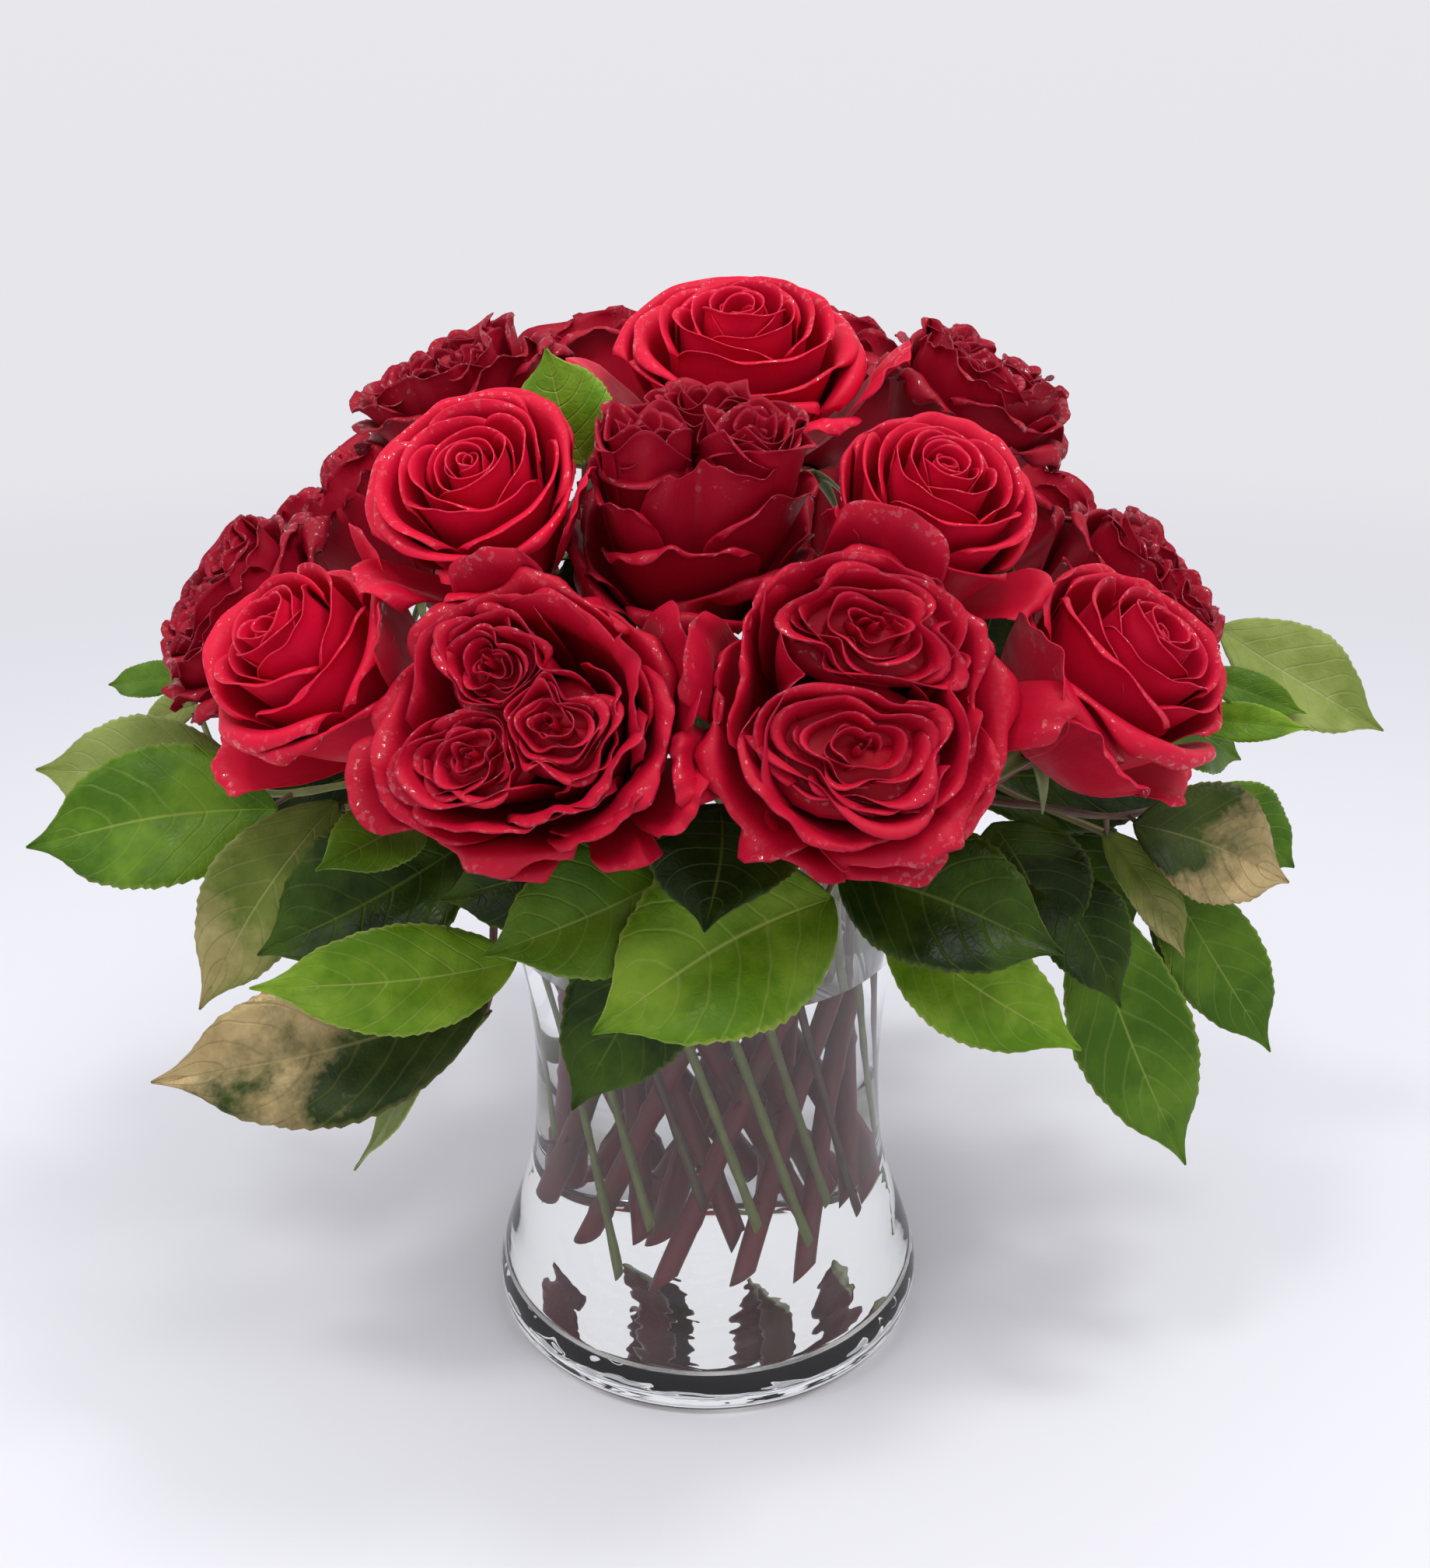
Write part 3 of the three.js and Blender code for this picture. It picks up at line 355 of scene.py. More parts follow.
def squeeze(points, rose, spare):
    """Neighbouring heads press each other flat, towards the plane between them."""
    centre = np.array(rose["at"], float)
    limits = []
    for other in ROSES:
        if other is rose:
            continue
        way = np.array(other["at"], float) - centre
        distance = np.linalg.norm(way)
        share = (distance ** 2 + rose["radius"] ** 2 - other["radius"] ** 2) / (2 * distance)
        if share - spare < 1.4 * rose["radius"]:
            limits.append((way / distance, share - spare))
    limits += [(unit(way), room) for way, room in rose.get("rests_on", [])]
    for _ in range(6):
        for way, room in limits:
            reach = (points - centre) @ way
            most = reach.max()
            if most > room:
                part = np.clip(reach / most, 0, 1)
                points -= np.outer((most - room) * part * part, way)
    return points


# Each ring of petals, from the heart (0) to the outside (1): the rim's height and the two points
# that shape the way up to it, half the width, and how the lip turns over, for a reference head in mm.
REFERENCE_RADIUS = 42
REFERENCE_HEIGHT = 47
RING_PLACES = (0, 0.25, 0.5, 0.75, 1.0)
SPIRAL_RING = dict(
    rim_height=(44, 46.5, 46, 42, 33),
    belly_radius=(7, 12, 17, 22, 27),
    belly_height=(14, 11, 8, 5, 2),
    over_share=(1.6, 1.06, 0.95, 0.88, 0.76),
    over_height=(34, 36, 38, 41, 44),
    half_width=(14, 20, 26, 31, 36),
    lip_turn=(8, 26, 42, 56, 78),
    lip_length=(1, 2, 3.2, 5, 8.5),
)
RUFFLED_RING = dict(
    rim_height=(44.5, 43.5, 41, 36, 27),
    belly_radius=(18, 20, 22, 25, 28),
    belly_height=(9, 8, 6, 4, 2),
    over_share=(0.95, 0.93, 0.88, 0.83, 0.74),
    over_height=(36, 37, 38, 40, 42),
    half_width=(22, 25, 28, 31, 35),
    lip_turn=(30, 38, 48, 60, 76),
    lip_length=(2, 3, 4.5, 6.5, 9),
)
SHEET_THICKNESS = 0.3
PETAL_STEP = 137.5
SPIRAL_PETALS = 22
RUFFLED_PETALS = 12
HEART_FOLDS = 12
# Rows and columns of points in a petal and in a fold of a heart, at full detail.
PETAL_GRID = (17, 31)
INNER_COLUMNS = 25
RUFFLED_GRID = (16, 35)
FOLD_GRID = (10, 27)
HEART_FLOOR = 38.2
HEARTS_APART = 12.5
# How far petals stay from the plane between two heads: those that stand out may cross it.
PRESSED_SPARE = 0.6
GUARD_SPARE = -5.0


def rows_to_rim(count):
    """Places along a petal, closer together near its rim."""
    return 1 - (1 - np.linspace(0, 1, count)[:, None]) ** 1.4


def ring_value(ring, key, place):
    """A value of the ring that is at this place."""
    return np.interp(place, RING_PLACES, ring[key])


def turned_lip(radius, height, turn, length):
    """The same rise, with its last stretch turned over outwards by an angle that may vary along the rim."""
    step_r, step_z = np.diff(radius, axis=0), np.diff(height, axis=0)
    step = np.hypot(step_r, step_z)
    travelled = np.cumsum(step, axis=0) - step / 2
    left = travelled[-1:] + step[-1:] / 2 - travelled
    extra = turn * (1 - smooth_step(left / length)) ** 0.8
    tilt = np.arctan2(step_r, step_z) + extra
    radius = np.concatenate([radius[:1], radius[:1] + np.cumsum(step * np.sin(tilt), axis=0)])
    height = np.concatenate([height[:1], height[:1] + np.cumsum(step * np.cos(tilt), axis=0)])
    return radius, height


def petal_grid(rng, ring, place, angle, rim_radius, rows, columns, wave, cycles, tip, lobes=None, low=1.0,
               own=None):
    """Mid points of one petal in its bloom's own frame; place runs from 0 at the heart to 1 outside."""
    own = own or {}
    u = np.linspace(-1, 1, columns)[None, :]
    v = rows_to_rim(rows)
    first, second, third, fourth = rng.uniform(0, 2 * math.pi, 4)
    swell = np.sin(cycles * math.pi * u + first) + 0.3 * np.sin(1.8 * cycles * math.pi * u + second)
    t = v * (1 - 0.05 * u ** 2 - 0.1 * np.abs(u) ** 6 + tip * np.exp(-(u / 0.25) ** 2) + 0.012 * wave * swell)
    rim_height = own.get("rim_height", ring_value(ring, "rim_height", place) * low) + rng.uniform(-2, 2)
    belly = (ring_value(ring, "belly_radius", place), ring_value(ring, "belly_height", place))
    over = (rim_radius * ring_value(ring, "over_share", place), ring_value(ring, "over_height", place) * low)
    if own:
        over = (rim_radius * 0.84, 0.5 * rim_height + 14)
    weights = ((1 - t) ** 3, 3 * (1 - t) ** 2 * t, 3 * (1 - t) * t ** 2, t ** 3)
    corners = ((4.0, 0.8), belly, over, (rim_radius, rim_height))
    radius = sum(w * corner[0] for w, corner in zip(weights, corners))
    height = sum(w * corner[1] for w, corner in zip(weights, corners))
    uneven = np.sin(cycles * math.pi * u + fourth)
    turn = np.radians(own.get("lip_turn", ring_value(ring, "lip_turn", place)))
    turn = turn * (1 + min(0.5, 0.22 * wave) * uneven)
    length = ring_value(ring, "lip_length", place) * (1 + 0.2 * np.sin(1.3 * u + third))
    radius, height = turned_lip(radius, height, turn, length)
    tilt = np.arctan2(np.gradient(radius, axis=0), np.gradient(height, axis=0))
    grow = v ** (5 - 2 * place)
    frill = np.sin(cycles * 3.1 * math.pi * u + third) * v ** 8
    out = wave * (swell * grow + 0.3 * frill) + 1.5 * place * np.abs(u) ** 3 * v ** 2
    out = out + 0.9 * np.sin(2.1 * u + 2.4 * v + third) * v * (0.3 + place)
    radius = radius + out * np.cos(tilt)
    height = height - out * np.sin(tilt) + rng.uniform(-1.5, 1.5) * place * u * v
    radius = radius + rng.uniform(0.6, 1.2) * u * v * (0.5 + 0.9 * place)
    outline = np.interp(v, (0, 0.25, 0.55, 0.8, 1), (0.3, 0.7, 1, 1, 0.88))
    about = 0.6 * np.maximum(radius[:, columns // 2][:, None], 3) + 0.4 * radius.max()
    half = np.minimum(own.get("half_width", ring_value(ring, "half_width", place)) * outline / about, 2.7)
    theta = angle + u * half
    if lobes is not None:
        radius = radius * (1 + (lobes(theta, rim_radius) - 1) * v)
    radius = np.maximum(radius, 0.4)
    return np.stack([radius * np.cos(theta), radius * np.sin(theta), height], -1)


def turned(x, y, angle):
    """A point or points turned round the middle of the head."""
    return x * math.cos(angle) - y * math.sin(angle), x * math.sin(angle) + y * math.cos(angle)


def spiral_petals(rng, rose):
    """A tight rolled heart, then petals that open more and more."""
    petals = []
    detail = rose.get("detail", 1.0)
    closed = 1 - rose.get("open", 1.0)
    for k in range(SPIRAL_PETALS):
        place = k / (SPIRAL_PETALS - 1)
        turn = math.radians(PETAL_STEP * k) + rng.uniform(-0.3, 0.3)
        reach = (1.3 + 35.5 * place ** 1.25) * (1 - 0.22 * closed * math.sin(math.pi * place ** 0.7))
        reach = reach * rng.uniform(0.93, 1.06)
        rows, columns = PETAL_GRID
        if place < 0.5:
            columns = INNER_COLUMNS
        grid = petal_grid(rng, SPIRAL_RING, place, turn, reach, int(rows * detail), int(columns * detail),
                          0.2 + 0.9 * place, rng.uniform(1.0, 1.7), rng.uniform(0.02, 0.08) * place)
        petals.append((grid, place))
    return petals


def guard_petals(rng, rose, ring):
    """The petals that stand out of their head, each where the bloom has it."""
    petals = []
    for direction, reach, rim_height, half_width, lip_turn, tip in rose.get("guards", []):
        own = dict(rim_height=rim_height, half_width=half_width, lip_turn=lip_turn)
        grid = petal_grid(rng, ring, 1.0, math.radians(direction - rose["turn"]), reach, *PETAL_GRID, 1.3,
                          rng.uniform(1.0, 1.8), tip, own=own)
        petals.append((grid, 1.0))
    return petals


def whorl_petals(rng, whorl, others, detail):
    """One rolled heart of a ruffled rose: nested folds, flat where it meets the hearts beside it."""
    x0, y0, size, stretch, lie = whorl
    petals = []
    folds = rng.uniform(0, 2 * math.pi, 3)
    start = rng.uniform(0, 2 * math.pi)
    petals.append((heart_floor(rng, whorl), 0.1))
    for k in range(HEART_FOLDS):
        radius = size * (0.05 + 0.95 * (k / (HEART_FOLDS - 1)) ** 0.95)
        seam = start + 2.4 * k + rng.uniform(-0.5, 0.5)
        u = np.linspace(-1, 1, int(FOLD_GRID[1] * detail))[None, :]
        v = rows_to_rim(int(FOLD_GRID[0] * detail))
        half = 2.5 - 0.09 * k
        theta = seam + u * half
        swell = np.sin(rng.uniform(1.6, 2.6) * math.pi * u + rng.uniform(0, 6))
        drift = rng.uniform(-0.35, 0.35, 3)
        fold = (0.2 * np.sin(2 * theta + folds[0] + 0.12 * k + drift[0])
                + 0.12 * np.sin(3 * theta + folds[1] - 0.2 * k + drift[1])
                + 0.07 * np.sin(5 * theta + folds[2] + 0.35 * k + drift[2]))
        lean = radius * (0.7 + 0.24 * v) * (1 + fold * (0.4 + 0.6 * v))
        if k < 2:
            lean = (1.5 + 1.1 * k) * (1 - (0.8 - 0.25 * k) * v) + 0 * u
        top = 43 + 0.02 * radius ** 2 * (1 - radius / (1.6 * size)) + rng.uniform(-1.6, 1.6)
        top = top - 3 * np.abs(u) ** 4 + 1.5 * np.sin(1.9 * math.pi * u + rng.uniform(0, 6))
        rise = 26 + (top - 26) * v
        turn = np.radians(10 + 5 * k) * (1 + 0.6 * swell)
        ring, z = turned_lip(lean, rise, turn, 0.8 + 0.26 * k)
        ring = ring + 0.06 * size * u * v + (0.15 + 0.11 * k) * swell * v ** 3
        x, y = turned(ring * np.cos(theta) * stretch, ring * np.sin(theta) / math.sqrt(stretch), lie)
        grid = np.stack([x0 + x, y0 + y, z + 0 * x], -1)
        for other in others:
            between = np.array([other[0] - x0, other[1] - y0, 0])
            distance = np.linalg.norm(between)
            between = between / distance
            limit = between[:2] @ (x0, y0) + distance * size / (size + other[2]) - 0.2
            reach = grid @ between
            over = reach - (limit - 3)
            squashed = np.where(over > 0, 3 * (1 - np.exp(-over / 3)), over)
            grid = grid + (squashed - over)[..., None] * between
        petals.append((grid, 0.12 + 0.03 * k))
    return petals


def heart_floor(rng, whorl):
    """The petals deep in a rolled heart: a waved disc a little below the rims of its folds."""
    x0, y0, size, stretch, lie = whorl
    ring, turn = np.meshgrid(np.linspace(0.04, 0.94, 7), np.linspace(0, 2 * math.pi, 19), indexing="ij")
    waves = np.sin(9 * ring + 2 * turn + rng.uniform(0, 6)) + 0.6 * np.sin(3 * turn + rng.uniform(0, 6))
    x, y = turned(size * ring * np.cos(turn) * stretch, size * ring * np.sin(turn) / math.sqrt(stretch), lie)
    return np.stack([x0 + x, y0 + y, HEART_FLOOR - 3 * ring ** 2 + 0.5 * waves], -1)


def hearts_outline(theta, whorls, margin):
    """How far the outline round all the hearts, widened by a margin, is from the middle of the head."""
    total = 0
    for x0, y0, size, stretch, lie in whorls:
        long_side, short_side = size * stretch + margin, size / math.sqrt(stretch) + margin
        cos, sin = math.cos(lie), math.sin(lie)
        from_x, from_y = (-x0 * cos - y0 * sin) / long_side, (x0 * sin - y0 * cos) / short_side
        way_x, way_y = np.cos(theta - lie) / long_side, np.sin(theta - lie) / short_side
        steep = way_x ** 2 + way_y ** 2
        along = from_x * way_x + from_y * way_y
        root = along ** 2 - steep * (from_x ** 2 + from_y ** 2 - 1)
        reach = np.where(root > 0, (-along + np.sqrt(np.maximum(root, 0))) / steep, 0)
        total = total + np.maximum(reach, 0) ** 8
    return total ** (1 / 8)


def ruffled_petals(rng, rose):
    """Rolled hearts pressed together, then waved petals that follow their outline."""
    petals = []
    detail = rose.get("detail", 1.0)
    start = rng.uniform(0, 2 * math.pi)
    whorls = rose.get("whorls")
    if whorls is None:
        whorls = [(HEARTS_APART * math.cos(start + 2.09 * k), HEARTS_APART * math.sin(start + 2.09 * k),
                   rng.uniform(12, 14), rng.uniform(1.0, 1.2), rng.uniform(0, 3)) for k in range(3)]
    else:
        turn = -math.radians(rose["turn"])
        whorls = [(*turned(x, y, turn), size, stretch, math.radians(lie) + turn)
                  for x, y, size, stretch, lie in whorls]
    for whorl in whorls:
        others = [other for other in whorls if other is not whorl]
        petals += whorl_petals(rng, whorl, others, detail)
    round_it = np.linspace(0, 2 * math.pi, 72, endpoint=False)
    hearts = hearts_outline(round_it, whorls, 0).mean()

    def lobes(theta, reach):
        margin = max(0, reach - hearts)
        mean = hearts_outline(round_it, whorls, margin).mean()
        return (hearts_outline(theta, whorls, margin) / mean) ** (1 - 0.45 * min(1, margin / 14))

    low = rose.get("low", 1.0)
    for k in range(RUFFLED_PETALS):
        place = k / (RUFFLED_PETALS - 1)
        turn = math.radians(PETAL_STEP * k) + rng.uniform(-0.2, 0.2)
        reach = (hearts - 1.5 + (41 - hearts) * place) * rng.uniform(0.95, 1.05)
        rows, columns = (int(count * detail) for count in RUFFLED_GRID)
        grid = petal_grid(rng, RUFFLED_RING, place, turn, reach, rows, columns, 1.1 + 1.7 * place,
                          rng.uniform(1.3, 2.5), 0, lobes, 1 - (1 - low) * place)
        petals.append((grid, 0.45 + 0.55 * place))
    return petals


def make_bloom(rose, number, materials):
    """All petals of a head, shaped in its own frame and then pressed by its neighbours."""
    rng = np.random.default_rng(number + BLOOM_SEED)
    base, basis = rose_frame(rose)
    if rose["kind"] == "spiral":
        petals = spiral_petals(rng, rose) + guard_petals(rng, rose, SPIRAL_RING)
    else:
        petals = ruffled_petals(rng, rose) + guard_petals(rng, rose, RUFFLED_RING)
    wide = rose["radius"] / REFERENCE_RADIUS
    scale = np.array([wide, wide, rose["height"] / REFERENCE_HEIGHT])
    grids = [base + (grid * scale) @ basis for grid, _ in petals]
    tight = len(grids) - len(rose.get("guards", []))
    every = []
    for group, spare in ((grids[:tight], PRESSED_SPARE), (grids[tight:], GUARD_SPARE)):
        if group:
            every.append(squeeze(np.concatenate([grid.reshape(-1, 3) for grid in group]), rose, spare))
    every = np.concatenate(every)
    piece = Piece()
    first = 0
    for grid, (_, layer) in zip(grids, petals):
        count = grid.shape[0] * grid.shape[1]
        pressed = every[first:first + count].reshape(grid.shape)
        first += count
        piece.add_sheet(pressed, SHEET_THICKNESS, (layer, rng.uniform(0, 1), rose.get("shade", 0.0)))
    kind = "petal_crimson" if rose["kind"] == "spiral" else "petal_wine"
    return piece.build("rose_" + rose["name"], [materials[kind]], ["bloom_" + rose["name"]])


# Stems
def line_at(family, azimuth, z):
    """Where a stem's straight line through the vase is at a height."""
    ring, twist = STEM_FAMILIES[family]["ring"], STEM_FAMILIES[family]["twist"]
    angle = math.radians(azimuth) - math.atan2(twist * (LEAVE_HEIGHT - BIND_HEIGHT), ring)
    slide = twist * (z - BIND_HEIGHT)
    return np.array([ring * math.cos(angle) - slide * math.sin(angle),
                     ring * math.sin(angle) + slide * math.cos(angle), z])


def bezier(start, start_way, end, end_way, steps):
    """A smooth path between two points with a direction at each."""
    reach = np.linalg.norm(end - start) * 0.4
    t = np.linspace(0, 1, steps + 1)[:, None]
    a, b, c, d = start, start + start_way * reach, end - end_way * reach, end
    return (1 - t) ** 3 * a + 3 * (1 - t) ** 2 * t * b + 3 * (1 - t) * t ** 2 * c + t ** 3 * d


def catmull(points, steps):
    """A smooth path through all the points."""
    points = np.asarray(points, float)
    padded = np.concatenate([[2 * points[0] - points[1]], points, [2 * points[-1] - points[-2]]])
    out = []
    for i in range(len(points) - 1):
        p0, p1, p2, p3 = padded[i:i + 4]
        t = np.linspace(0, 1, steps, endpoint=False)[:, None]
        out.append(0.5 * (2 * p1 + (p2 - p0) * t + (2 * p0 - 5 * p1 + 4 * p2 - p3) * t ** 2
                          + (3 * p1 - p0 - 3 * p2 + p3) * t ** 3))
    out.append(points[-1:])
    return np.concatenate(out)


def frames_along(path):
    """Each point of a path with its direction and two more across it, untwisted."""
    side = np.array([1.0, 0, 0])
    frames = []
    for i, point in enumerate(path):
        along = unit(path[min(len(path) - 1, i + 1)] - path[max(0, i - 1)])
        side = unit(side - along * side.dot(along))
        frames.append((point, along, side, np.cross(along, side)))
    return frames


def circle(frame_here, radii, slant=0.0):
    """A ring across a path; a slant gives the cut at its foot."""
    point, along, side, up = frame_here
    radii = np.asarray(radii, float)
    angle = 2 * math.pi * np.arange(len(radii)) / len(radii)
    return (point + np.outer(radii * np.cos(angle), side) + np.outer(radii * np.sin(angle), up)
            + np.outer(slant * np.cos(angle), along))


def make_stem(rose, number, materials):
    """A knotted stem with its cut foot, thorns, calyx and sepals."""
    rng = np.random.default_rng(number + STEM_SEED)
    axis = unit(rose["axis"])
    base = np.array(rose["at"], float) - axis * rose["height"] / 2
    azimuth = math.degrees(math.atan2(base[1], base[0]))
    radius = STEM_FAMILIES[rose["family"]]["radius"]
    foot = line_at(rose["family"], azimuth, STEM_FOOT[0] + STEM_FOOT[1] * chance(number + 1))
    leave = line_at(rose["family"], azimuth, LEAVE_HEIGHT)
    way = unit(leave - foot)
    slant = 3 + 2 * chance(number + 40)
    neck = base - axis * CALYX_LENGTH
    straight = foot + np.linspace(0, 1, STEM_STEPS[0])[:, None] * (leave - foot)
    path = np.concatenate([straight[:-1], bezier(leave, way, neck, axis, STEM_STEPS[1])])
    risen = np.linspace(1.5, CALYX_LENGTH - 0.4, len(CALYX_SWELL))
    path = np.concatenate([path, neck + axis * risen[:, None]])
    frames = frames_along(path)
    length = np.concatenate([[0], np.cumsum(np.linalg.norm(np.diff(path, axis=0), axis=1))])
    knots = np.arange(rng.uniform(12, 30), length[-1] - 30, rng.uniform(38, 52))
    calyx = dict(zip(range(len(path) - len(CALYX_SWELL), len(path)), CALYX_SWELL))
    rings = []
    around = 2 * math.pi * np.arange(STEM_SIDES) / STEM_SIDES
    for i, here in enumerate(frames):
        swell = 1 + 0.16 * np.exp(-((length[i] - knots) / 2.2) ** 2).sum()
        size = radius * (1 - 0.14 * i / len(path)) * swell * calyx.get(i, 1.0)
        uneven = 1 + 0.03 * np.sin(2 * around + i * 0.3) + 0.02 * np.sin(3 * around + i * 0.21)
        rings.append(circle(here, size * uneven, slant if i == 0 else 0.0))
    piece = Piece()
    piece.add_tube(rings, (0, rng.uniform(0, 1), 0), 0, 1)
    add_thorns(piece, rng, frames, length, radius)
    add_sepals(piece, rng, base, axis, frames[-1])
    used = [materials[key] for key in ("stem_bark", "stem_cut", "sepal")]
    return piece.build("stalk_" + rose["name"], used, ["stem_" + rose["name"]])


def add_thorns(piece, rng, frames, length, radius):
    for _ in range(THORNS):
        place = rng.uniform(20, length[-1] * 0.8)
        i = int(np.searchsorted(length, place))
        point, along, side, up = frames[i]
        angle = rng.uniform(0, 2 * math.pi)
        out = side * math.cos(angle) + up * math.sin(angle)
        across = np.cross(along, out)
        rings = []
        for share, size in ((0, 1.5), (0.5, 0.8), (1, 0.12)):
            centre = point + out * (radius * 0.8 + 3.4 * share) - along * 1.4 * share ** 2
            turn = 2 * math.pi * np.arange(6) / 6
            rings.append(centre + np.outer(np.cos(turn) * size * 1.4, along)
                         + np.outer(np.sin(turn) * size * 0.6, across))
        piece.add_tube(rings, (0.3, 0.5, 0))


def add_sepals(piece, rng, base, axis, top):
    _, _, side, up = top
    for k in range(SEPALS):
        angle = 2 * math.pi * (k + 0.5) / SEPALS + rng.uniform(-0.15, 0.15)
        out = side * math.cos(angle) + up * math.sin(angle)
        across = np.cross(axis, out)
        t = np.linspace(0, 1, 12)[:, None]
        u = np.linspace(-1, 1, 5)[None, :]
        droop = rng.uniform(6, 12)
        reach = 4.2 + 14.5 * t
        drop = -3.2 - droop * t ** 1.7
        half = 3.3 * (1 - t ** 1.5) + 0.15
        grid = (base + (reach + 0 * u)[..., None] * out + (drop + 0.5 * np.abs(u) * half)[..., None] * axis
                + (u * half)[..., None] * across)
        piece.add_sheet(grid, SEPAL_THICKNESS, (0.5, rng.uniform(0, 1), 0), 2)


# Foliage
TOOTH_COUNT = 21
LEAF_ROWS = 58
LEAF_COLUMNS = 11
LEAF_THICKNESS = 0.45
# The short stalk of each leaf.
STALK_SIDES = 8
STALK_STEPS = 8
STALK_RADIUS = 0.95
# The dark look is painted shade: a darker copy of the leaf greens for leaves that the bouquet shades.
LOOKS = ("green", "bright", "dark", "bronze", "gold", "pale")
FIRST_LOOK_SLOT = 2


def leaf_grid(rng, base, tip, width, roll=0):
    """A toothed blade, arched along its length and folded along its rib."""
    base = np.array(base, float)
    tip = np.array(tip, float)
    length = np.linalg.norm(tip - base)
    along = (tip - base) / length
    outward = unit((base[0], base[1], 0))
    face = np.array(FRONT_FACE) if base[1] < FRONT_LIMIT else outward + np.array((0, 0, 0.7))
    face = unit(face - along * face.dot(along))
    across = np.cross(face, along)
    turn = math.radians(roll)
    face, across = (face * math.cos(turn) - across * math.sin(turn),
                    across * math.cos(turn) + face * math.sin(turn))
    t = np.linspace(0, 1, LEAF_ROWS)[:, None]
    u = np.linspace(-1, 1, LEAF_COLUMNS)[None, :]
    shape = np.sin(math.pi * t ** 0.84) ** 0.85
    shape = shape * (1 - 0.62 * smooth_step((t - 0.74) / 0.26)) + 0.006
    saw = (t * TOOTH_COUNT) % 1
    spread = width / 2 * shape * 1.04
    tooth = 0.05 * (saw - 0.5) * np.abs(u) ** 8 * smooth_step(t / 0.12)
    arch = LEAF_ARCH * length * np.sin(math.pi * t)
    sway = rng.uniform(0.02, 0.055) * rng.choice((-1, 1))
    bend = sway * length * np.sin(math.pi * t) * (1.2 - 0.5 * t)
    curl = rng.uniform(-0.05, 0.02) * length * smooth_step((t - 0.45) / 0.55) * np.sin(math.pi * t * 0.97)
    phase = rng.uniform(0, 2)
    wave = np.sin(math.pi * (2.6 * t + phase + 0.5 * np.sign(u)))
    ripple = 0.075 * width * wave * u ** 2 * np.sin(math.pi * t)
    ripple = ripple + 0.016 * width * np.sin(math.pi * (9 * t - 3 * np.abs(u))) * np.abs(u) * (1 - u ** 4)
    fold = LEAF_FOLD * rng.uniform(0.8, 1.7) * np.abs(u) * spread * (1.1 - 0.4 * u ** 2)
    rib = -0.25 * np.exp(-(u / 0.09) ** 2)
    out = arch + fold + ripple + rib + curl
    side = u * spread * (1 + tooth) + bend
    forward = length * t + 0.35 * tooth * spread
    grid = (base + forward[..., None] * along + side[..., None] * across + out[..., None] * face)
    return grid[:, ::-1], base


def nearest_on(path, point):
    return path[np.argmin(np.linalg.norm(path - point, axis=1))]


def make_spray(spray, number, materials):
    """A twig with its leaves, each on a short stalk."""
    rng = np.random.default_rng(number + SPRAY_SEED)
    family = STEM_FAMILIES["twig"]
    foot = line_at("twig", spray["azimuth"], TWIG_FOOT[0] + TWIG_FOOT[1] * chance(number + 70))
    leave = line_at("twig", spray["azimuth"], LEAVE_HEIGHT)
    bent = catmull([leave] + list(spray["twig"]), TWIG_STEPS[1])
    straight = foot + np.linspace(0, 1, TWIG_STEPS[0])[:, None] * (leave - foot)
    path = np.concatenate([straight[:-1], bent])
    frames = frames_along(path)
    rings = []
    for i, here in enumerate(frames):
        size = family["radius"] * (1 - 0.35 * i / len(path)) * (1 + 0.1 * math.sin(i * 1.3))
        rings.append(circle(here, np.full(TWIG_SIDES, size), 1.5 if i == 0 else 0.0))
    piece = Piece()
    piece.add_tube(rings, (0.4, rng.uniform(0, 1), 0), 0)
    for base, tip, width, look, *roll in spray["leaves"]:
        grid, start = leaf_grid(rng, base, tip, width, *roll)
        slot = FIRST_LOOK_SLOT + LOOKS.index(look)
        piece.add_sheet(grid, LEAF_THICKNESS, (rng.uniform(0, 1), rng.uniform(0, 1), 0), slot, 1)
        root = nearest_on(bent, start)
        stalk = np.linspace(root, start + (np.array(tip) - start) * 0.05, STALK_STEPS)
        stalk_rings = [circle(here, np.full(STALK_SIDES, STALK_RADIUS - 0.04 * i))
                       for i, here in enumerate(frames_along(stalk))]
        piece.add_tube(stalk_rings, (0.6, 0.5, 0), 0)
    used = [materials["twig_bark"], materials["leaf_under"]] + [materials["leaf_" + look] for look in LOOKS]
    return piece.build("foliage_" + spray["name"], used, ["spray_" + spray["name"]])


# Vase and water
def lathe(name, profile, materials, replaces, is_second):
    """A turned body; the faces for which is_second(radius, height) is true get the second material."""
    sides = TURNED_SIDES
    profile = np.asarray(profile, float)
    angle = 2 * math.pi * np.arange(sides) / sides
    rings = [np.stack([r * np.cos(angle), r * np.sin(angle), np.full(sides, z)], 1) for r, z in profile[1:-1]]
    piece = Piece()
    piece.add_tube(rings, (0, 0, 0))
    middles = [(profile[i] + profile[i + 1]) / 2 for i in range(1, len(profile) - 2)]
    bands = np.repeat([int(is_second(*middle)) for middle in middles], sides)
    ends = [int(is_second(*profile[1])), int(is_second(*profile[-2]))]
    piece.slots = [np.concatenate([bands, np.repeat(ends, sides)])]
    return piece.build(name, materials, replaces)


def outer_wall():
    """Radius and height up the outside of the vase."""
    points = catmull([(r, z, 0) for z, r in VASE_OUTLINE], 6)
    return points[:, :2]


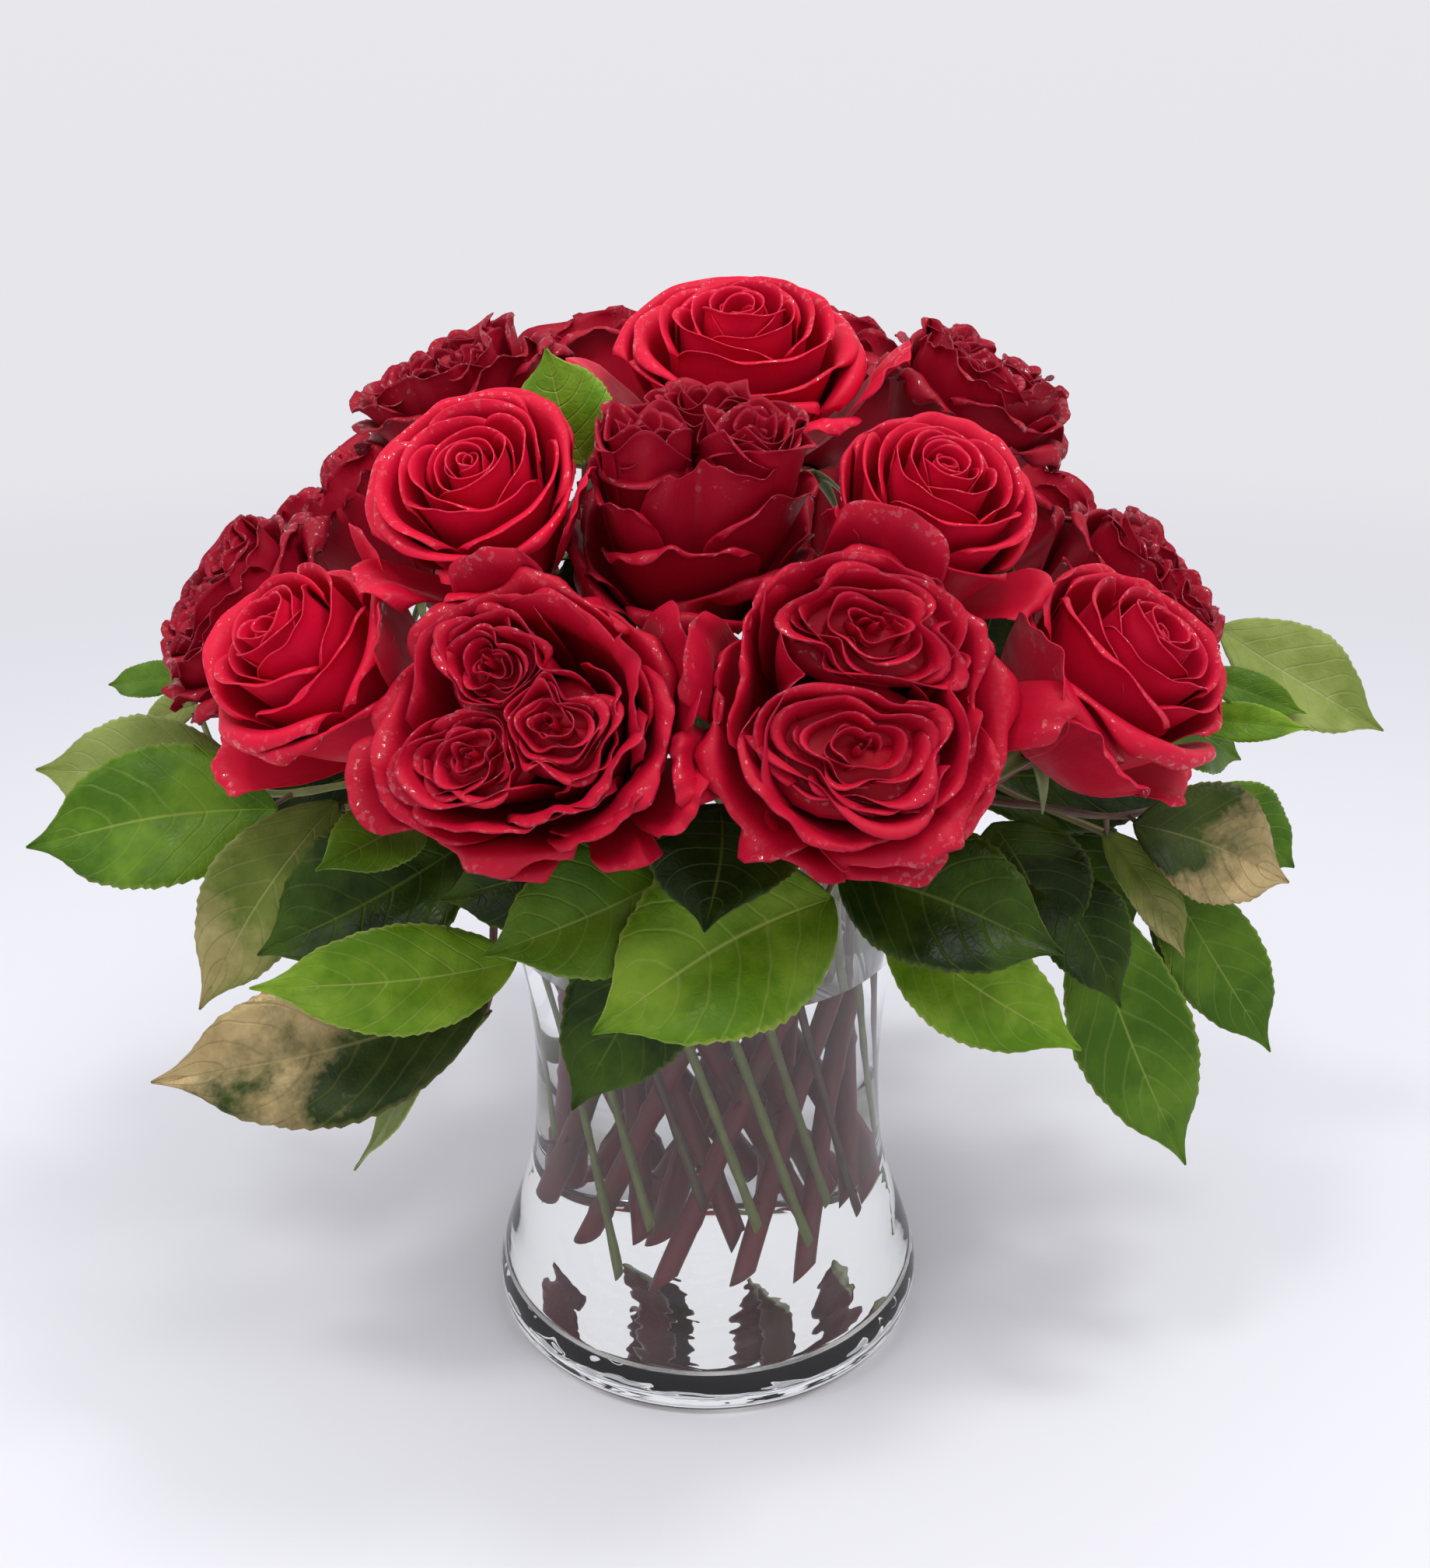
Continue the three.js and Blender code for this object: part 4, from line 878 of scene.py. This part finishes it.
def inner_wall(gap):
    """From the floor's rounded corner up the inside, a gap further in."""
    wall = outer_wall()
    low = FLOOR_TOP + FLOOR_FILLET
    wall = wall[wall[:, 1] >= low] - (GLASS_WALL + gap, 0)
    corner = wall[0, 0]
    turn = np.linspace(0, math.pi / 2, 9)[:-1]
    fillet = np.stack([corner - FLOOR_FILLET + FLOOR_FILLET * np.sin(turn),
                       low - FLOOR_FILLET * np.cos(turn) + gap], 1)
    return np.concatenate([fillet, wall])


def make_vase(materials):
    """Pressed glass; the faces under water bend light less."""
    wall = outer_wall()
    rim = wall[-1, 0]
    turn = np.linspace(0, math.pi, 9)[1:-1]
    lip = np.stack([rim - GLASS_WALL / 2 + GLASS_WALL / 2 * np.cos(turn), VASE_HEIGHT - 1 + np.sin(turn)], 1)
    foot = [(FOOT_RADIUS, 0), (FOOT_RADIUS + 2.6, 0.7), (FOOT_RADIUS + 4.6, 2.2)]
    profile = np.concatenate([[(0, 0)], foot, wall, lip, inner_wall(0)[::-1], [(0, FLOOR_TOP)]])

    def wetted(radius, height):
        inside = radius < np.interp(height, wall[:, 1], wall[:, 0]) - 2
        return FLOOR_TOP - 0.1 < height < WATER_LEVEL and inside
    used = [materials["clear_glass"], materials["wet_glass"]]
    return lathe("vase_glass", profile, used, ["vase"], wetted)


def make_water(materials):
    """Water that overlaps the glass a little, so that no air shows between them."""
    wall = inner_wall(-WATER_OVERLAP)
    wall = wall[wall[:, 1] <= WATER_LEVEL]
    profile = np.concatenate([[(0, FLOOR_TOP)], wall, [(wall[-1, 0], WATER_LEVEL), (0, WATER_LEVEL)]])

    def beside_glass(radius, height):
        return height < WATER_LEVEL - 0.01
    used = [materials["clear_water"], materials["water_side"]]
    return lathe("water_body", profile, used, ["water"], beside_glass)


# Materials
class Nodes:
    """Short ways to add and join shader nodes."""

    def __init__(self, name):
        self.material = bpy.data.materials.new(name)
        self.material.use_nodes = True
        self.tree = self.material.node_tree
        self.shader = self.tree.nodes["Principled BSDF"]

    def add(self, kind, **settings):
        node = self.tree.nodes.new(kind)
        for key, value in settings.items():
            setattr(node, key, value)
        return node

    def link(self, output, target):
        self.tree.links.new(output, target)

    def set(self, name, value):
        """A socket of the shader, from a plain value or from another node."""
        if isinstance(value, bpy.types.NodeSocket):
            self.link(value, self.shader.inputs[name])
        else:
            self.shader.inputs[name].default_value = value

    def value(self, operation, a, b=0.5, clamp=False):
        node = self.add("ShaderNodeMath", operation=operation, use_clamp=clamp)
        for socket, item in zip(node.inputs, (a, b)):
            if isinstance(item, (int, float)):
                socket.default_value = item
            else:
                self.link(item, socket)
        return node.outputs[0]

    def times(self, a, b):
        return self.value("MULTIPLY", a, b)

    def mix(self, factor, a, b):
        node = self.add("ShaderNodeMix", data_type="RGBA")
        for index, item in ((0, factor), (6, a), (7, b)):
            if isinstance(item, (int, float)):
                node.inputs[index].default_value = item
            elif isinstance(item, tuple):
                node.inputs[index].default_value = (*item, 1)
            else:
                self.link(item, node.inputs[index])
        return node.outputs[2]

    def noise(self, scale, detail=3.0, roughness=0.5, coordinates=None):
        node = self.add("ShaderNodeTexNoise")
        node.inputs["Scale"].default_value = scale
        node.inputs["Detail"].default_value = detail
        node.inputs["Roughness"].default_value = roughness
        if coordinates is None:
            coordinates = self.add("ShaderNodeTexCoord").outputs["Object"]
        self.link(coordinates, node.inputs["Vector"])
        return node.outputs["Fac"]

    def ramp(self, value, *stops):
        node = self.add("ShaderNodeValToRGB")
        elements = node.color_ramp.elements
        while len(elements) < len(stops):
            elements.new(0.5)
        for element, (position, colour) in zip(elements, stops):
            element.position = position
            element.color = (*colour, 1) if isinstance(colour, tuple) else (colour, colour, colour, 1)
        self.link(value, node.inputs["Fac"])
        return node.outputs["Color"]

    def bump(self, height, strength, distance, target="Normal"):
        node = self.add("ShaderNodeBump")
        node.inputs["Strength"].default_value = strength
        node.inputs["Distance"].default_value = distance
        self.link(height, node.inputs["Height"])
        self.link(node.outputs["Normal"], self.shader.inputs[target])

    def place(self):
        """Across (0 to 1) and along (0 to 1) of a petal or leaf."""
        source = self.add("ShaderNodeUVMap", uv_map="place")
        split = self.add("ShaderNodeSeparateXYZ")
        self.link(source.outputs["UV"], split.inputs[0])
        return split.outputs[0], split.outputs[1]

    def from_middle(self, across):
        """How far a point is from the middle line of its petal or leaf, 0 to 1."""
        return self.value("ABSOLUTE", self.value("SUBTRACT", self.times(across, 2.0), 1.0))

    def tone(self):
        """The three marks of a point: on petals the layer, a random value and the shade."""
        source = self.add("ShaderNodeVertexColor", layer_name="tone")
        split = self.add("ShaderNodeSeparateColor")
        self.link(source.outputs["Color"], split.inputs[0])
        return split.outputs[0], split.outputs[1], split.outputs[2]

    def fade(self, value, low, high, start=0.0, end=1.0):
        """A soft step, from start at low to end at high."""
        node = self.add("ShaderNodeMapRange", interpolation_type="SMOOTHSTEP")
        self.link(value, node.inputs["Value"])
        for socket, item in (("From Min", low), ("From Max", high), ("To Min", start), ("To Max", end)):
            node.inputs[socket].default_value = item
        return node.outputs[0]


def linear(red, green, blue):
    """Display values from 0 to 255 to linear light."""
    def one(c):
        c = c / 255
        return c / 12.92 if c <= 0.04045 else ((c + 0.055) / 1.055) ** 2.4
    return one(red), one(green), one(blue)


def petal_material(name, root, heart, body, rim, wet):
    """Velvet petals: darker towards the root as painted shade deep in the head, another tone along the rim,
    wet in places.
    """
    n = Nodes(name)
    root, heart, body, rim = (linear(*colour) for colour in (root, heart, body, rim))
    across, along = n.place()
    _, luck, shade = n.tone()
    side = n.from_middle(across)
    sides = n.times(n.value("POWER", side, 4.0), along)
    edge = n.value("MAXIMUM", along, sides)
    # Root to rim: the darker root is painted shade where petals go down into the head; the wine rim's darker
    # purple is its own colour, the crimson rim's pinker tone partly a painted highlight.
    colour = n.ramp(edge, (0.0, root), (0.5, heart), (0.8, body), (0.95, body), (1.0, rim))
    patchy = n.ramp(n.noise(70, 4, 0.6), (0.42, 0.0), (0.72, 1.0))
    colour = n.mix(n.times(patchy, 0.45), colour, heart)
    colour = n.mix(n.times(luck, 0.35), colour, tuple(c * 0.75 for c in body))
    colour = n.mix(shade, colour, tuple(c * 0.3 for c in body))
    n.set("Base Color", colour)
    fine = n.add("ShaderNodeCombineXYZ")
    n.link(n.times(across, 46.0), fine.inputs[0])
    n.link(n.times(along, 3.0), fine.inputs[1])
    n.link(luck, fine.inputs[2])
    veins = n.noise(1.0, 3, 0.55, fine.outputs[0])
    soft = n.noise(260, 3, 0.6)
    height = n.value("ADD", n.times(veins, 0.7), n.times(soft, 0.4))
    n.bump(height, 0.3, 0.0006)
    n.set("Roughness", n.ramp(n.noise(130, 2, 0.5), (0.35, 0.42), (0.7, 0.6)))
    n.set("Specular IOR Level", 0.16)
    n.set("Sheen Weight", 0.03)
    n.set("Sheen Roughness", 0.35)
    n.set("Sheen Tint", (1.0, 0.12, 0.2, 1))
    drops = n.ramp(n.noise(520, 2, 0.5), (0.56, 0.0), (0.6, wet))
    places = n.ramp(n.noise(60, 2, 0.5), (0.38, 0.0), (0.48, 1.0))
    near_rim = n.ramp(edge, (0.6, 0.0), (0.85, 1.0))
    n.set("Coat Weight", n.times(n.times(drops, places), near_rim))
    n.set("Coat Roughness", 0.06)
    n.set("Coat IOR", 1.6)
    n.bump(n.noise(240, 2, 0.5), 0.8, 0.0012, "Coat Normal")
    return n.material


def leaf_material(name, deep, light, vein, roughness, gold=0.0):
    """A satin leaf: patches of two greens, a pale rib, faint side veins and, on some, brushed gold."""
    n = Nodes(name)
    deep, light, vein = (linear(*colour) for colour in (deep, light, vein))
    across, along = n.place()
    _, luck, _ = n.tone()
    side = n.from_middle(across)
    bowed = n.times(n.value("POWER", side, 1.4), 2.2)
    phase = n.value("SUBTRACT", n.times(along, 8.0), bowed)
    wobble = n.times(n.noise(55, 2, 0.5), 0.7)
    saw = n.value("FRACT", n.value("ADD", phase, wobble))
    off = n.value("ABSOLUTE", n.value("SUBTRACT", saw, 0.5))
    lateral = n.value("SUBTRACT", 1.0, n.times(off, 12.0), clamp=True)
    midrib = n.value("SUBTRACT", 1.0, n.times(side, 30.0), clamp=True)
    net = n.add("ShaderNodeTexVoronoi", feature="DISTANCE_TO_EDGE")
    net.inputs["Scale"].default_value = 420
    n.link(n.add("ShaderNodeTexCoord").outputs["Object"], net.inputs["Vector"])
    cells = n.ramp(net.outputs["Distance"], (0.0, 1.0), (0.18, 0.0))
    patches = n.ramp(n.noise(34, 4, 0.6), (0.42, 0.0), (0.64, 1.0))
    colour = n.mix(patches, deep, light)
    colour = n.mix(n.times(luck, 0.35), colour, tuple(c * 0.6 for c in deep))
    colour = n.mix(n.times(lateral, 0.22), colour, vein)
    colour = n.mix(n.times(midrib, 0.7), colour, vein)
    rim = n.ramp(side, (0.93, 0.0), (1.0, 0.5))
    colour = n.mix(rim, colour, vein)
    if gold:
        near_tip = n.times(n.value("SUBTRACT", along, 0.5), 0.5)
        upper = n.times(n.value("SUBTRACT", across, 0.5), 0.22)
        dust = n.value("ADD", n.noise(30, 5, 0.7), n.value("ADD", near_tip, upper))
        start = 0.6 - 0.2 * gold
        mask = n.times(n.ramp(dust, (start, 0.0), (start + 0.24, 1.0)), 0.3 + 0.62 * gold)
        brushed = n.mix(n.noise(75, 4, 0.7), linear(140, 112, 66), linear(222, 200, 150))
        brushed = n.mix(n.times(lateral, 0.3), brushed, linear(96, 78, 44))
        colour = n.mix(mask, colour, brushed)
        n.set("Metallic", n.times(mask, 0.55))
    n.set("Base Color", colour)
    lines = n.value("ADD", n.times(lateral, 0.7), n.times(cells, 0.16))
    uneven = n.times(n.noise(130, 3, 0.6), 0.5)
    height = n.value("SUBTRACT", uneven, n.value("ADD", lines, midrib))
    n.bump(height, 0.55, 0.0006)
    satin = n.ramp(n.noise(120, 2, 0.5), (0.3, roughness), (0.7, roughness + 0.2))
    n.set("Roughness", satin)
    n.set("Specular IOR Level", 0.13)
    return n.material


def stem_material(name, body, patch, other=None):
    """Bark with patches; where there is another colour, some stems have that one."""
    n = Nodes(name)
    body = linear(*body)
    patches = n.ramp(n.noise(48, 4, 0.6), (0.5, 0.0), (0.62, 1.0))
    colour = n.mix(patches, body, linear(*patch))
    if other:
        _, luck, _ = n.tone()
        colour = n.mix(n.ramp(luck, (0.45, 0.0), (0.75, 1.0)), colour, linear(*other))
    dark = n.ramp(n.noise(160, 4, 0.6), (0.3, 0.0), (0.75, 1.0))
    colour = n.mix(n.times(dark, 0.4), colour, tuple(c * 0.5 for c in body))
    n.set("Base Color", colour)
    n.bump(n.noise(240, 4, 0.6), 0.4, 0.0006)
    n.set("Roughness", 0.45)
    return n.material


def clear_material(name, colour, ior, streaks=0.0):
    """Clear glass or water; streaks are the faint rings that pressing leaves near the foot."""
    n = Nodes(name)
    n.set("Base Color", (*colour, 1))
    n.set("Roughness", 0.0)
    n.set("IOR", ior)
    n.set("Transmission Weight", 1.0)
    if streaks:
        position = n.add("ShaderNodeTexCoord").outputs["Object"]
        height = n.add("ShaderNodeSeparateXYZ")
        n.link(position, height.inputs[0])
        low = n.ramp(n.times(height.outputs[2], 20.0), (0.1, 1.0), (0.7, 0.0))
        rings = n.add("ShaderNodeTexWave", wave_type="RINGS", rings_direction="Z")
        n.link(position, rings.inputs["Vector"])
        for socket, value in (("Scale", 34.0), ("Distortion", 9.0), ("Detail", 2.0), ("Detail Scale", 1.6)):
            rings.inputs[socket].default_value = value
        n.bump(n.times(rings.outputs["Fac"], low), streaks, 0.001)
    return n.material


# How each material is made. Colours are display values from 0 to 255, but clear ones are linear.
MATERIALS = dict(
    # Petal colours run root, heart, body, rim: the darker root is painted shade, the crimson rim partly a
    # painted highlight.
    petal_crimson=(petal_material, (190, 6, 40), (198, 8, 46), (212, 14, 54), (214, 34, 70), 0.9),
    petal_wine=(petal_material, (166, 4, 32), (176, 6, 38), (182, 12, 44), (140, 20, 50), 0.8),
    stem_bark=(stem_material, (122, 34, 42), (104, 66, 44)),
    stem_cut=(stem_material, (190, 190, 140), (160, 156, 104)),
    sepal=(stem_material, (118, 134, 82), (140, 152, 104)),
    twig_bark=(stem_material, (88, 52, 44), (96, 84, 52), (128, 138, 72)),
    leaf_green=(leaf_material, (62, 96, 16), (96, 130, 30), (140, 160, 72), 0.3),
    leaf_bright=(leaf_material, (80, 118, 14), (128, 160, 44), (164, 180, 88), 0.3),
    # leaf_dark is painted shade: the leaf greens darkened for leaves in the bouquet's shadow.
    leaf_dark=(leaf_material, (24, 42, 8), (56, 80, 16), (96, 114, 46), 0.28),
    leaf_bronze=(leaf_material, (88, 106, 36), (124, 136, 62), (152, 156, 96), 0.38, 0.35),
    leaf_gold=(leaf_material, (34, 50, 14), (62, 78, 28), (120, 118, 70), 0.36, 0.9),
    leaf_pale=(leaf_material, (112, 128, 56), (142, 154, 84), (172, 178, 122), 0.45),
    leaf_under=(leaf_material, (108, 130, 62), (136, 154, 84), (160, 172, 110), 0.55),
    clear_glass=(clear_material, (0.97, 0.985, 0.98), GLASS_IOR),
    wet_glass=(clear_material, (0.98, 0.98, 0.98), GLASS_IOR / WATER_IOR, FOOT_STREAKS),
    clear_water=(clear_material, (0.98, 0.98, 0.98), WATER_IOR),
    water_side=(clear_material, (1.0, 1.0, 1.0), 1.0),
)


def make_materials():
    return {name: make(name, *values) for name, (make, *values) in MATERIALS.items()}


# Stage, light and camera, in metres
FLOOR_SIZE = 12
FLOOR_DROP = 0.0004
BLACK = (0.0, 0.0, 0.0)
WALL_LOW = (231, 230, 235)
WALL_HIGH = (236, 236, 241)
HORIZON_FADE = (0.35, 2.6)
# Only under the foot of the vase, up to about this far out, the floor glows in grey streaks:
# painted light for what the glass lets through to it, with darker streaks as painted shade.
FOOT_PAINTED_LIGHT = (0.072, 0.08)
# Name, place, height aimed at, width and power: a soft key and fill, and two small ones for wet sparks.
LIGHTS = [
    ("key", (0.5, -0.7, 1.5), 0.2, 0.5, 5.0),
    ("fill", (-0.9, -0.6, 1.2), 0.2, 0.5, 2.5),
    ("spark_right", (0.35, -0.2, 1.3), 0.3, 0.15, 2.8),
    ("spark_left", (-0.3, -0.5, 1.25), 0.3, 0.15, 2.6),
]


def make_stage():
    """A pale floor that fades into the horizon; under the foot of the vase it glows in streaks, painted light
    and shade for what the glass lets through.
    """
    bpy.ops.mesh.primitive_plane_add(size=FLOOR_SIZE, location=(0, 0, -FLOOR_DROP))
    floor = bpy.context.object
    floor.name = "floor"
    n = Nodes("pale_floor")
    position = n.add("ShaderNodeTexCoord").outputs["Object"]
    far = n.add("ShaderNodeVectorMath", operation="LENGTH")
    n.link(position, far.inputs[0])
    distance = far.outputs["Value"]
    far_off = n.fade(distance, *HORIZON_FADE)
    # Near 1 under the foot of the vase, where the floor gets painted light and shade as emission.
    beside = n.fade(distance, *FOOT_PAINTED_LIGHT, 1.0, 0.0)
    tint = n.mix(n.times(n.noise(3, 3, 0.5), 0.3), linear(226, 226, 231), linear(232, 232, 236))
    n.set("Base Color", n.mix(far_off, tint, BLACK))
    # Grey streaks of emission under the foot: painted light for what the glass lets through, darker streaks
    # as painted shade.
    streaks = n.ramp(n.noise(26, 1, 0.4), (0.35, linear(74, 70, 66)), (0.65, linear(172, 169, 166)))
    glow = n.mix(far_off, BLACK, linear(*WALL_LOW))
    n.set("Emission Color", n.mix(beside, glow, streaks))
    n.set("Emission Strength", 1.0)
    n.set("Roughness", 1.0)
    n.set("Specular IOR Level", 0.0)
    floor.data.materials.append(n.material)


def add_area(name, location, aim, size, power):
    """A square light that points at a height on the vase's axis."""
    data = bpy.data.lights.new(name, "AREA")
    data.shape = "SQUARE"
    data.size = size
    data.energy = power
    lamp = bpy.data.objects.new(name, data)
    way = np.array(location) - (0, 0, aim)
    lamp.location = location
    lamp.rotation_euler = (math.atan2(math.hypot(way[0], way[1]), way[2]), 0, math.atan2(way[0], -way[1]))
    bpy.context.scene.collection.objects.link(lamp)


def make_light():
    """A pale, even room and the lights."""
    world = bpy.data.worlds.new("studio")
    bpy.context.scene.world = world
    world.use_nodes = True
    tree = world.node_tree
    background = tree.nodes["Background"]
    coordinates = tree.nodes.new("ShaderNodeTexCoord")
    split = tree.nodes.new("ShaderNodeSeparateXYZ")
    ramp = tree.nodes.new("ShaderNodeValToRGB")
    tree.links.new(coordinates.outputs["Generated"], split.inputs[0])
    tree.links.new(split.outputs[2], ramp.inputs["Fac"])
    for element, colour in zip(ramp.color_ramp.elements, (WALL_LOW, WALL_HIGH)):
        element.color = (*linear(*colour), 1)
    tree.links.new(ramp.outputs["Color"], background.inputs["Color"])
    background.inputs["Strength"].default_value = 1.0
    for light in LIGHTS:
        add_area(*light)


CAMERA_PLACE = (0.0027, -0.468, 0.370)
CAMERA_PITCH = 20.12
PHOTO_HEIGHT = 2016
FOCAL_PIXELS = 1880
SENSOR = 36


def make_camera():
    data = bpy.data.cameras.new("camera")
    data.sensor_width = SENSOR
    data.sensor_fit = "AUTO"
    data.lens = SENSOR * FOCAL_PIXELS / PHOTO_HEIGHT
    data.clip_start = 0.01
    data.clip_end = 20
    camera = bpy.data.objects.new("camera", data)
    camera.location = CAMERA_PLACE
    camera.rotation_euler = (math.radians(90 - CAMERA_PITCH), 0, 0)
    bpy.context.scene.collection.objects.link(camera)
    bpy.context.scene.camera = camera


def main():
    make_camera()
    make_light()
    make_stage()
    materials = make_materials()
    make_vase(materials)
    make_water(materials)
    for number, rose in enumerate(ROSES):
        make_bloom(rose, number, materials)
        make_stem(rose, number, materials)
    for number, spray in enumerate(SPRAYS):
        make_spray(spray, number, materials)
    scene = bpy.context.scene
    scene.view_settings.view_transform = "Standard"
    bpy.context.view_layer.update()


main()
